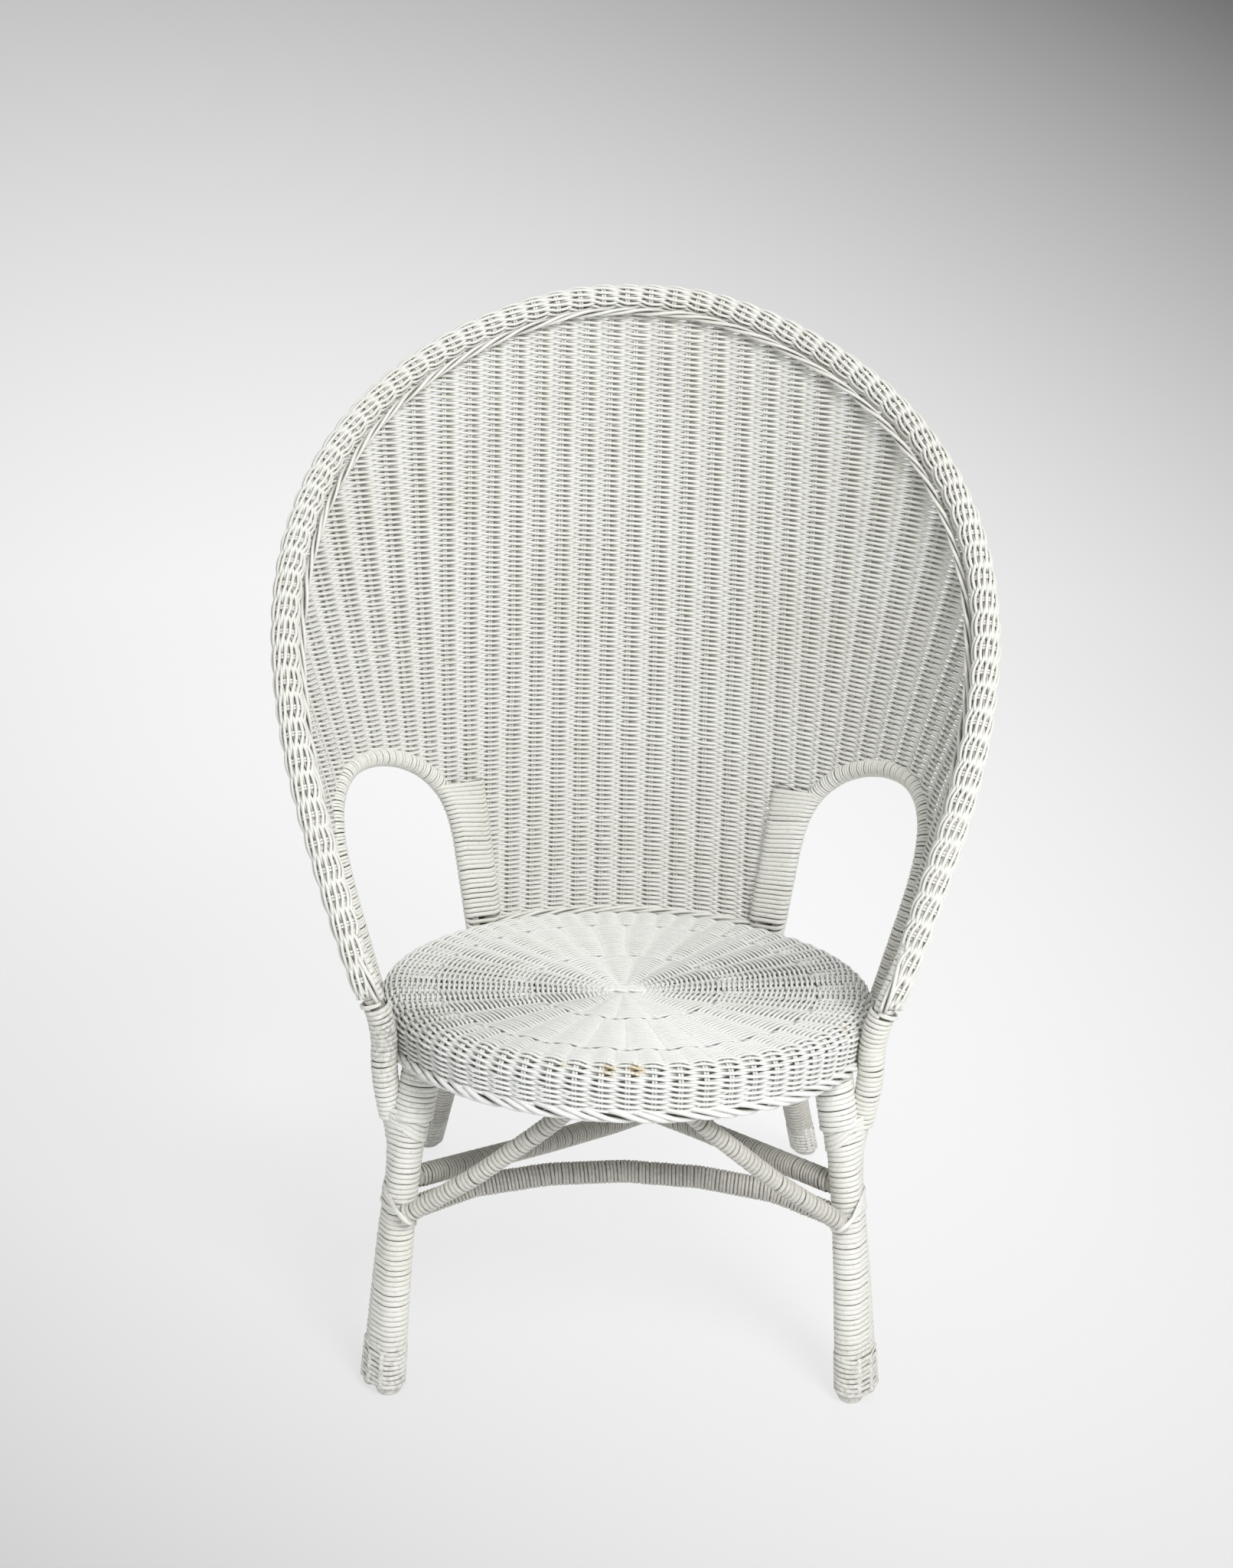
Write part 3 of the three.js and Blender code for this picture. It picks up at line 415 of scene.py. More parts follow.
def rim_line():
    """Points along the rim from the left arm to the right, and the way out of the back at each."""
    share = np.linspace(0, 1, RIM_POINTS)
    height = RIM_BASE + (RIM_TOP - RIM_BASE) * over_crown(share)
    angle = np.sign(share - 0.5) * rim_angle(height)
    height = height - CROWN_EASE * np.exp(-(angle / CROWN_SPAN) ** 2)
    path = shell_point(angle, height)
    lengths = arc_lengths(path)
    even = np.linspace(0, lengths[-1], RIM_POINTS)
    normal = shell_normal(np.interp(even, lengths, angle), np.interp(even, lengths, height))
    return sample(path, lengths, even), normal


def arch_angles(height):
    """Angles of the rear and front leg of an arch at a height."""
    lift = np.clip((height - ARCH_SPRING) / (ARCH_CROWN - ARCH_SPRING), 0, 1)
    width = np.sqrt(1 - lift ** ARCH_POWER)
    rear = ARCH_CROWN_ANGLE + (ARCH_REAR - ARCH_CROWN_ANGLE) * width
    front = ARCH_CROWN_ANGLE + (ARCH_FRONT - ARCH_CROWN_ANGLE) * width
    return rear, front


def arch_line(side, count):
    """Points along an arch from its rear foot over the crown to its front foot."""
    share = np.linspace(0, 1, count)
    height = ARCH_FOOT + (ARCH_CROWN - ARCH_FOOT) * over_crown(share)
    rear, front = arch_angles(height)
    return shell_point(side * np.where(share < 0.5, rear, front), height)


# Stakes stand at even distances round the back, and fan out towards its sides
STAKE_PITCH_LEFT = 0.0278
STAKE_PITCH_RIGHT = 0.0308
STAKE_MIDDLE = -0.003
STAKE_COUNT = 24
STAKE_LEVEL = SEAT_Z + 0.220
STAKE_TUCK = 0.004
STAKE_STEP = 0.008
STAKE_ASIDE = 1.03
FAN_START = 0.36
FAN_SPAN = 0.15
FAN_LEAST = -0.45
STAKE_NUMBERS = np.arange(-STAKE_COUNT, STAKE_COUNT + 1)
STAKE_PITCHES = np.where(STAKE_NUMBERS < 0, STAKE_PITCH_LEFT, STAKE_PITCH_RIGHT)
STAKE_DISTANCES = STAKE_MIDDLE + STAKE_NUMBERS * STAKE_PITCHES

# Rows end inside the roll, the posts and the arches, and a span that is too short for a row is left out
ROW_TUCK = 0.008
POST_LAP = 0.012
LEAST_SPAN = 0.02
ROW_DRIFT = 0.0003
DEPTH_DRIFT = 0.07
REED_SPREAD = (0.93, 1.07)
WEAVE_STEPS = 6


def stake_angles(height):
    """Angle of every stake at a height."""
    level_radius = shell_radius(STAKE_LEVEL)
    keep = np.clip((FAN_START - np.abs(STAKE_DISTANCES)) / FAN_SPAN, FAN_LEAST, 1)
    if height < STAKE_LEVEL:
        keep = np.maximum(keep, 0)
    growth = shell_radius(height) / level_radius - 1
    return STAKE_DISTANCES / level_radius / (1 + keep * growth)


def row_heights(reed):
    """Heights of the rows of the back. Upper rows are a little coarser."""
    heights = [PANEL_BASE]
    while heights[-1] < RIM_TOP:
        rise = (heights[-1] - PANEL_BASE) / (RIM_TOP - PANEL_BASE)
        heights.append(heights[-1] + reed.row_low + (reed.row_high - reed.row_low) * rise ** 2)
    return np.array(heights[:-1])


def row_spans(height):
    """Angles between which a row of the back runs."""
    rim = rim_angle(height) - ROW_TUCK / shell_radius(height)
    if height >= ARCH_CROWN:
        return [(-rim, rim)]
    rear, front = arch_angles(height)
    inner = POST_ANGLE if height < POST_TOP - POST_LAP else rear
    spans = [(-inner, inner)]
    if height > WING_BASE:
        spans += [(-rim, -front), (front, rim)]
    return [span for span in spans if span[1] - span[0] > LEAST_SPAN]


def twine(number):
    """The two reeds of a row, by stake number: sign, how far each parts, and how far ahead it lies."""
    slant = np.sin(math.pi * number)
    for sign in (1, -1):
        yield sign, sign * slant * np.abs(slant), sign * np.cos(math.pi * number)


def back_row(strands, reed, height, span, rng):
    """Two reeds twined round the stakes, along one row."""
    angles = stake_angles(height)
    first, last = np.interp(span, angles, STAKE_NUMBERS)
    number = np.linspace(first, last, max(4, int((last - first) * WEAVE_STEPS) + 1))
    angle = np.interp(number, STAKE_NUMBERS, angles)
    drift = ROW_DRIFT * wander(rng, number, 4, 17)
    depth = reed.depth * (1 + DEPTH_DRIFT * wander(rng, number, 2, 9))
    for _, parted, ahead in twine(number):
        level = height + drift - reed.lift * parted - reed.stagger * ahead
        front = -shell_normal(angle, level)
        path = shell_point(angle, level) + front * (depth * ahead)[:, None]
        section = circle(reed.radius * rng.uniform(*REED_SPREAD))
        strands.sweep(path, front, section, rng.uniform(-1, 1), False, ahead)


def stake_pair(reed):
    """How far the two reeds of a stake lie to one side and the other."""
    aside = reed.stake_radius * STAKE_ASIDE
    return aside, -aside


def stake_runs(number):
    """Stretches of one stake that lie within the back, as angles and heights."""
    heights = np.arange(PANEL_BASE - STAKE_TUCK, RIM_TOP, STAKE_STEP)
    angles = np.array([stake_angles(height)[number + STAKE_COUNT] for height in heights])
    within = [0]
    for angle, height in zip(angles, heights):
        within.append(int(any(low <= angle <= high for low, high in row_spans(height))))
    ends = np.flatnonzero(np.diff(within + [0])).reshape(-1, 2)
    return [(angles[start:stop], heights[start:stop]) for start, stop in ends if stop - start > 2]


# Shader graphs
class Shade:
    """A shader value. Python operators on it add Math nodes, and node() adds any other node."""

    def __init__(self, tree, socket=None):
        self.tree = tree
        self.socket = socket

    def node(self, kind, settings, sockets, output=0):
        """Adds a node: first its settings, then the values or links of its sockets."""
        made = self.tree.nodes.new(kind)
        for name, value in settings.items():
            setattr(made, name, value)
        for name, value in sockets.items():
            target = made.inputs[name]
            if isinstance(value, Shade):
                self.tree.links.new(value.socket, target)
            else:
                target.default_value = value
        return Shade(self.tree, made.outputs[output] if made.outputs else None)

    def math(self, operation, first, second):
        """A Math node on two values."""
        return self.node("ShaderNodeMath", {"operation": operation}, {0: first, 1: second})

    def __add__(self, other):
        return self.math("ADD", self, other)

    def __radd__(self, other):
        return self.math("ADD", other, self)

    def __sub__(self, other):
        return self.math("SUBTRACT", self, other)

    def __rsub__(self, other):
        return self.math("SUBTRACT", other, self)

    def __mul__(self, other):
        return self.math("MULTIPLY", self, other)

    def __rmul__(self, other):
        return self.math("MULTIPLY", other, self)

    def mark(self, name):
        """A value stored on the mesh."""
        return self.node("ShaderNodeAttribute", {"attribute_name": name}, {}, "Fac")

    def noise(self, scale, detail=3.0):
        """Noise in the chair's own space."""
        place_in = self.node("ShaderNodeTexCoord", {}, {}, "Object")
        sockets = {"Vector": place_in, "Scale": scale, "Detail": detail}
        return self.node("ShaderNodeTexNoise", {}, sockets, "Fac")

    def between(self, low, high):
        """This value, stretched so that low becomes 0 and high becomes 1."""
        sockets = {"Value": self, "From Min": low, "From Max": high}
        return self.node("ShaderNodeMapRange", {}, sockets)

    def mix(self, first, second):
        """A mix of two colours by this value."""
        sockets = {0: self, 6: first, 7: second}
        return self.node("ShaderNodeMix", {"data_type": "RGBA"}, sockets, 2)

    def bump(self, strength, distance):
        """A normal that takes this value as a height."""
        sockets = {"Strength": strength, "Distance": distance, "Height": self}
        return self.node("ShaderNodeBump", {}, sockets)

    def finish(self, sockets):
        """Ends a material's graph in one surface."""
        surface = self.node("ShaderNodeBsdfPrincipled", {}, sockets)
        self.node("ShaderNodeOutputMaterial", {}, {"Surface": surface})


def rgba(colour):
    """A colour with full alpha."""
    return (*colour, 1.0)


def new_graph(name):
    """A material with an empty node tree."""
    material = bpy.data.materials.new(name)
    material.use_nodes = True
    material.node_tree.nodes.clear()
    return material, Shade(material.node_tree)


# Paints: colour, roughness, share of aged paint, share of grime and painted shade, scale of the grain and
# least speck of grime and painted shade
PAINTS = {
    "reed_paint": ("fresh", 0.50, 0.55, 0.10, 420.0, 0.56),
    "seat_paint": ("seat", 0.46, 0.40, 0.12, 420.0, 0.56),
    "cane_paint": ("fresh", 0.48, 0.85, 0.22, 320.0, 0.56),
    # The bars under the seat and the rear legs are darker, with more specks, partly as painted shade
    "grey_shaded_paint": ("dull_and_shaded", 0.55, 0.30, 0.45, 320.0, 0.30),
    "brace_shaded_paint": ("dull_and_shaded", 0.55, 0.75, 0.28, 320.0, 0.36),
}
PATCH_SCALE = 9.0
SPECK_SCALE = 260.0
CHIP_SCALE = 380.0


def paint_material(name, base, roughness, aged_share, grime_and_shade_share, grain, grime_and_shade_from):
    """Old brushed paint on reed: yellowed in patches, dirty in specks, darkened in the gaps with grime and
    painted shade, worn to the reed in spots.
    """
    paint = bpy.context.scene.wicker_paint
    material, graph = new_graph(name)
    patches = graph.noise(PATCH_SCALE).between(0.42, 0.72)
    specks = graph.noise(SPECK_SCALE)
    brushed = graph.noise(grain, 4.0)
    age = aged_share * (patches * 0.6 + graph.mark("tone") * 0.22 + brushed * 0.3)
    colour = age.mix(rgba(getattr(paint, base)), rgba(paint.aged))
    dirt_and_shade = graph.mark("soil") * specks.between(0.30, 0.62) + grime_and_shade_share * specks.between(grime_and_shade_from, 0.74)
    colour = dirt_and_shade.mix(colour, rgba(paint.shade_and_grime))
    # Painted shade and grime in the gaps and on the sides of strands that face into the weave
    colour = (0.9 * graph.mark("inner_shade_and_grime")).mix(colour, rgba(paint.shade_and_grime))
    bare = 0.8 * (graph.mark("wear") * 0.9 + graph.noise(CHIP_SCALE) * 1.5).between(1.35, 1.60)
    graph.finish({
        "Base Color": bare.mix(colour, rgba(paint.reed)),
        "Roughness": roughness + 0.22 * (brushed - 0.5) + 0.15 * dirt_and_shade,
        "Specular IOR Level": 0.42,
        "Normal": brushed.bump(0.22, 0.0006),
    })
    return material


def pole_material(name):
    """The poles under the cane: thin paint, darkened with dirt and with painted shade that shows in the
    gaps.
    """
    paint = bpy.context.scene.wicker_paint
    material, graph = new_graph(name)
    dirt_and_shade = graph.noise(45.0).between(0.25, 0.75)
    colour = (0.35 + 0.5 * dirt_and_shade).mix(rgba(paint.aged), rgba(paint.shade_and_grime))
    graph.finish({"Base Color": colour, "Roughness": 0.62 + 0.2 * dirt_and_shade, "Normal": dirt_and_shade.bump(0.2, 0.0005)})
    return material


def nail_material(name):
    """Steel nails under old paint."""
    paint = bpy.context.scene.wicker_paint
    material, graph = new_graph(name)
    chips = graph.noise(700.0).between(0.45, 0.62)
    colour = chips.mix(rgba(paint.aged), rgba(paint.nail))
    graph.finish({"Base Color": colour, "Metallic": 0.8 * chips, "Roughness": 0.55 - 0.1 * chips})
    return material


def material_of(name):
    """A finish, made when a piece first asks for it."""
    if name in bpy.data.materials:
        return bpy.data.materials[name]
    if name in PAINTS:
        return paint_material(name, *PAINTS[name])
    return {"pole_paint": pole_material, "nail_steel": nail_material}[name](name)


# Soft studio light: name, place, width and power of each lamp
LAMPS = (
    ("key", (1.3, -2.6, 3.0), 1.5, 104),
    ("fill", (-2.4, -2.0, 1.4), 2.0, 5),
    ("rear", (0.6, 2.6, 2.4), 1.8, 12),
)
LAMP_AIM = (0.0, 0.0, 0.55)
AMBIENT = 0.53
SHADOW_SHARE = 0.18
FLOOR_RADIUS = 40
FLOOR_SIDES = 96
FLOOR_FADE = (1.2, 4.5)

# Backdrop: its brightest grey, the span of directions and brightest share on each axis, and its falls
BACKDROP_GREY = 0.985
BACKDROP_ASIDE = (-0.35, 0.35, 0.50)
BACKDROP_ABOVE = (-0.64, 0.12, 0.41)
FALL_ASIDE = 0.67
FALL_ABOVE = 1.59
FALL_CORNER = 0.75


class WICKER_OT_stage(bpy.types.Operator):
    """Adds the camera, the soft studio light and the pale floor"""

    bl_idname = "wicker.stage"
    bl_label = "Stage"

    def execute(self, context):
        scene = context.scene
        scene.view_settings.view_transform = "Standard"
        self.add_camera(scene)
        self.add_world(scene)
        self.add_lamps(scene)
        self.add_floor(scene)
        return {"FINISHED"}

    def add_camera(self, scene):
        """The camera of the photograph."""
        lens = bpy.data.cameras.new("photo_view")
        lens.sensor_fit = "VERTICAL"
        lens.sensor_height = SENSOR
        lens.lens = SENSOR * FOCAL_SHARE
        camera = bpy.data.objects.new("photo_view", lens)
        sin_pitch, cos_pitch = math.sin(EYE_PITCH), math.cos(EYE_PITCH)
        sin_yaw, cos_yaw = math.sin(EYE_YAW), math.cos(EYE_YAW)
        right = Vector((cos_yaw, -sin_yaw, 0))
        forward = Vector((sin_yaw * cos_pitch, cos_yaw * cos_pitch, -sin_pitch))
        up = Vector((sin_yaw * sin_pitch, cos_yaw * sin_pitch, cos_pitch))
        across = right * math.cos(EYE_ROLL) + up * math.sin(EYE_ROLL)
        upright = up * math.cos(EYE_ROLL) - right * math.sin(EYE_ROLL)
        turn = Matrix((across, upright, -forward)).transposed().to_4x4()
        camera.matrix_world = Matrix.Translation(EYE) @ turn
        scene.collection.objects.link(camera)
        scene.camera = camera

    def seen(self, graph):
        """1 for what the camera sees, also in a reflection or through glass, and 0 for the light."""
        camera = graph.node("ShaderNodeLightPath", {}, {}, "Is Camera Ray")
        glossy = graph.node("ShaderNodeLightPath", {}, {}, "Is Glossy Ray")
        through = graph.node("ShaderNodeLightPath", {}, {}, "Is Transmission Ray")
        return (camera + glossy + through).between(0, 1)

    def off_brightest(self, direction, axis, span):
        """How far a direction is from the backdrop's brightest place along one axis."""
        low, high, brightest = span
        part = direction.node("ShaderNodeSeparateXYZ", {}, {"Vector": direction}, axis)
        return part.between(low, high) - brightest

    def add_world(self, scene):
        """Even light from all round, behind a pale backdrop that only the camera sees."""
        world = bpy.data.worlds.new("studio")
        world.use_nodes = True
        world.node_tree.nodes.clear()
        graph = Shade(world.node_tree)
        seen = self.seen(graph)
        direction = graph.node("ShaderNodeTexCoord", {}, {}, "Generated")
        aside = self.off_brightest(direction, "X", BACKDROP_ASIDE)
        above = self.off_brightest(direction, "Z", BACKDROP_ABOVE)
        grey = BACKDROP_GREY - FALL_ASIDE * aside * aside - FALL_ABOVE * above * above
        grey = grey - FALL_CORNER * aside * above
        backdrop = graph.node("ShaderNodeCombineColor", {}, {"Red": grey, "Green": grey, "Blue": grey})
        colour = seen.mix(rgba(scene.wicker_paint.light), backdrop)
        strength = AMBIENT + (1 - AMBIENT) * seen
        surface = graph.node("ShaderNodeBackground", {}, {"Color": colour, "Strength": strength})
        graph.node("ShaderNodeOutputWorld", {}, {"Surface": surface})
        scene.world = world

    def add_lamps(self, scene):
        """Round soft lamps that face the chair."""
        for name, spot, size, power in LAMPS:
            light = bpy.data.lights.new(name, "AREA")
            light.shape = "DISK"
            light.size = size
            light.energy = power
            lamp = bpy.data.objects.new(name, light)
            aim = Vector(LAMP_AIM) - Vector(spot)
            turn = aim.to_track_quat("-Z", "Y").to_matrix().to_4x4()
            lamp.matrix_world = Matrix.Translation(spot) @ turn
            scene.collection.objects.link(lamp)

    def add_floor(self, scene):
        """A pale floor that keeps a faint shadow and fades into the backdrop."""
        bpy.ops.mesh.primitive_circle_add(
            vertices=FLOOR_SIDES, radius=FLOOR_RADIUS, fill_type="NGON", location=(0, 0, 0)
        )
        floor = bpy.context.object
        floor.name = "floor"
        material, graph = new_graph("floor_paper")
        spot = graph.node("ShaderNodeTexCoord", {}, {}, "Object")
        away = graph.node("ShaderNodeVectorMath", {"operation": "LENGTH"}, {0: spot}, "Value")
        paper = graph.node("ShaderNodeBsdfDiffuse", {}, {"Color": rgba(scene.wicker_paint.floor)})
        clear = graph.node("ShaderNodeBsdfTransparent", {}, {})
        share = self.seen(graph) * (1 - SHADOW_SHARE + SHADOW_SHARE * away.between(*FLOOR_FADE))
        surface = graph.node("ShaderNodeMixShader", {}, {0: share, 1: paper, 2: clear})
        graph.node("ShaderNodeOutputMaterial", {}, {"Surface": surface})
        floor.data.materials.append(material)


class WICKER_OT_solids(bpy.types.Operator):
    """Paints the poles, hoops and nails that stay as they are"""

    bl_idname = "wicker.solids"
    bl_label = "Poles and Nails"

    def execute(self, context):
        for name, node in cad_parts.items():
            finish = material_of("nail_steel" if name.endswith("_nail") else "pole_paint")
            node.data.materials.clear()
            node.data.materials.append(finish)
        return {"FINISHED"}


class WICKER_OT_back(bpy.types.Operator):
    """Weaves the back: rows of twined reed round pairs of stakes, and a rope along its foot"""

    bl_idname = "wicker.back"
    bl_label = "Back"

    # Pieces of the weave, and the height at which each starts
    bands = (("back_weave_low", 0.0), ("back_weave_middle", 0.62), ("back_weave_top", 0.79))
    row_slack = 0.00025
    stake_sway = 0.0006
    foot_level = SEAT_Z - 0.006
    foot_ahead = 0.006
    foot_points = 90
    foot_strands = 3
    foot_core = 1.15
    foot_lay = -0.085

    def execute(self, context):
        reed = context.scene.wicker_reed
        rng = np.random.default_rng(11)
        meshes = [StrandMesh() for _ in self.bands]
        for height in row_heights(reed):
            band = max(i for i, (_, start) in enumerate(self.bands) if height >= start)
            level = height + rng.uniform(-self.row_slack, self.row_slack)
            for span in row_spans(level):
                back_row(meshes[band], reed, level, span, rng)
        for (name, _), strands in zip(self.bands, meshes):
            place(strands, name, "reed_paint", "weave", "back_panel")
        self.add_stakes(reed, rng)
        self.add_foot(reed, rng)
        return {"FINISHED"}

    def add_stakes(self, reed, rng):
        """Pairs of reeds that the rows are woven round."""
        strands = StrandMesh()
        for number in STAKE_NUMBERS:
            for angle, height in stake_runs(number):
                normal = shell_normal(angle, height)
                sway = self.stake_sway * wander(rng, height, 0.15, 0.6)
                for aside in stake_pair(reed):
                    path = shell_point(angle + (aside + sway) / shell_radius(height), height)
                    strands.sweep(path, normal, circle(reed.stake_radius), rng.uniform(-1, 1))
        place(strands, "back_stakes", "reed_paint", "weave", "back_panel")

    def add_foot(self, reed, rng):
        """The rope between the posts, where the back meets the seat."""
        strands = StrandMesh()
        angle = np.linspace(-POST_ANGLE, POST_ANGLE, self.foot_points)
        height = np.full(self.foot_points, self.foot_level)
        normal = shell_normal(angle, height)
        path = shell_point(angle, height) - self.foot_ahead * normal
        core = reed.rope * self.foot_core
        rope(strands, path, normal, self.foot_strands, reed.rope, core, self.foot_lay, rng)
        place(strands, "back_foot_rope", "reed_paint", "weave", "back_panel")


class WICKER_OT_rim(bpy.types.Operator):
    """Weaves the thick roll along the edge of the back, and lays the long strands on its inner edge"""

    bl_idname = "wicker.rim"
    bl_label = "Rim"

    pitch = 0.0275
    middle = 0.0116
    depth = 0.0021
    parting = 1.15
    fullness = 1.04
    first_turn = math.radians(-57)
    last_turn = math.radians(237)
    stake_points = 22
    stake_tuck = 0.3

    # Towards the ends of the arms the front rows stop, and the braid follows the edge that they leave
    end_aside = 0.0030
    end_low = 0.43
    end_high = 0.57
    end_turn = math.radians(82)
    end_gap = 0.006
    end_fray = 0.004

    braid_front = 0.0112
    braid_inside = 0.0174
    braid_tuck = 0.004
    braid_points = 420
    braid_strands = 3
    braid_radius = 0.9
    braid_core = 1.2
    braid_lay = -0.105

    def execute(self, context):
        reed = context.scene.wicker_reed
        rng = np.random.default_rng(23)
        path, normal = rim_line()
        self.lengths = arc_lengths(path)
        self.front = -normal
        self.side = unit(np.cross(unit(np.gradient(path, axis=0)), normal))
        if self.side[len(path) // 2, AXIS_Z] < 0:
            self.side = -self.side
        ending = np.clip((self.end_high - path[:, AXIS_Z]) / (self.end_high - self.end_low), 0, 1)
        self.ending = ending ** 2 * (3 - 2 * ending)
        self.path = path + self.end_aside * self.ending[:, None] * normal
        self.first = self.first_turn + (self.end_turn - self.first_turn) * self.ending
        self.pitches = int(self.lengths[-1] / self.pitch)
        self.add_rows(reed, rng)
        self.add_stakes(reed, rng)
        self.add_braid(reed, rng)
        return {"FINISHED"}

    def at(self, distances):
        """Centre, forward and sideways directions and first turn of the roll at distances along it."""
        lines = (self.path, self.front, self.side)
        centre, front, side = [sample(line, self.lengths, distances) for line in lines]
        return centre, unit(front), unit(side), np.interp(distances, self.lengths, self.first)

    def add_rows(self, reed, rng):
        """Rows that run along the roll, each of two twined reeds."""
        strands = StrandMesh()
        number = np.linspace(0, self.pitches, self.pitches * WEAVE_STEPS + 1)
        distances = number / self.pitches * self.lengths[-1]
        centre, front, side, first = self.at(distances)
        section = circle(reed.radius * self.fullness)
        rows = int((self.last_turn - self.first_turn) * self.middle / reed.roll_row) + 1
        for turn in np.linspace(self.first_turn, self.last_turn, rows):
            drift = ROW_DRIFT * wander(rng, number, 4, 15)
            for _, parted, ahead in twine(number):
                bare = self.end_gap + self.end_fray * rng.random()
                kept = (turn >= first) & (distances > bare) & (distances < self.lengths[-1] - bare)
                shift = drift - self.parting * reed.lift * parted - reed.stagger * ahead
                out = spokes(turn + shift / self.middle, front, side)
                path = centre + (self.middle + self.depth * ahead)[:, None] * out
                strands.sweep(path[kept], out[kept], section, rng.uniform(-1, 1), False, ahead[kept])
        place(strands, "rim_roll_weave", "reed_paint", "weave", "rim_roll")

    def add_stakes(self, reed, rng):
        """Pairs of reeds bent round the roll."""
        strands = StrandMesh()
        share = np.linspace(0, 1, self.stake_points)
        for number in range(self.pitches + 1):
            for aside in stake_pair(reed):
                distance = number / self.pitches * self.lengths[-1] + aside
                centre, front, side, first = self.at(np.full(len(share), distance))
                turn = first - self.stake_tuck + (self.last_turn - first + 2 * self.stake_tuck) * share
                out = spokes(turn, front, side)
                path = centre + self.middle * out
                strands.sweep(path, out, circle(reed.stake_radius), rng.uniform(-1, 1))
        place(strands, "rim_roll_stakes", "reed_paint", "weave", "rim_roll")

    def add_braid(self, reed, rng):
        """Long strands along the inner edge of the roll."""
        strands = StrandMesh()
        distances = np.linspace(self.braid_tuck, self.lengths[-1] - self.braid_tuck, self.braid_points)
        centre, front, side, _ = self.at(distances)
        ending = np.interp(distances, self.lengths, self.ending)[:, None]
        high = self.braid_front * front - self.braid_inside * side
        low = math.cos(self.end_turn) * front + math.sin(self.end_turn) * side
        low = (self.middle + self.depth) * low
        path = centre + high + (low - high) * ending
        radius = reed.rope * self.braid_radius
        core = reed.rope * self.braid_core
        rope(strands, path, front, self.braid_strands, radius, core, self.braid_lay, rng)
        place(strands, "rim_braid_rope", "reed_paint", "weave", "rim_braid")


def seat_profile(distance, sink):
    """Radius, height and outward direction of the seat's section, by distance from its centre."""
    ring = SEAT_RADIUS - SEAT_ROLL
    roll = SEAT_ROLL - sink
    top = SEAT_ROLL - SEAT_HOOP_DROP - sink
    slope = math.atan2(SEAT_ROLL - SEAT_HOOP_DROP - SEAT_DISH, ring)
    dish = ring / math.cos(slope)
    bend = roll * math.pi / 2
    distance = np.asarray(distance, float)
    on_roll = np.clip((distance - dish) / roll, 0, math.pi / 2)
    below = np.maximum(distance - dish - bend, 0)
    flat = np.minimum(distance, dish)
    radius = flat * math.cos(slope) + roll * np.sin(on_roll) - below * SEAT_SKIRT_TAPER / SEAT_SKIRT
    height = top - (dish - flat) * math.sin(slope) - roll * (1 - np.cos(on_roll)) - below
    across = np.where(distance < dish, -math.sin(slope), np.sin(on_roll))
    up = np.where(distance < dish, math.cos(slope), np.cos(on_roll))
    return radius, height, across, up


def seat_surface(distance, angle, sink, reach=0.0):
    """Points of the seat, a reach over its middle surface, and the outward direction at each."""
    radius, height, across, up = seat_profile(distance, sink)
    pull = np.clip(1 - radius / SEAT_RADIUS, 0, 1)
    out = np.stack([across * np.sin(angle), across * np.cos(angle), up + 0 * angle], axis=-1)
    x = radius * np.sin(angle) + SEAT_KNOT[0] * pull
    y = radius * np.cos(angle) + SEAT_KNOT[1] * pull
    flat = np.stack([x, y, height + 0 * angle], axis=-1)
    return to_chair(flat + np.asarray(reach)[..., None] * out), turn_to_chair(out)


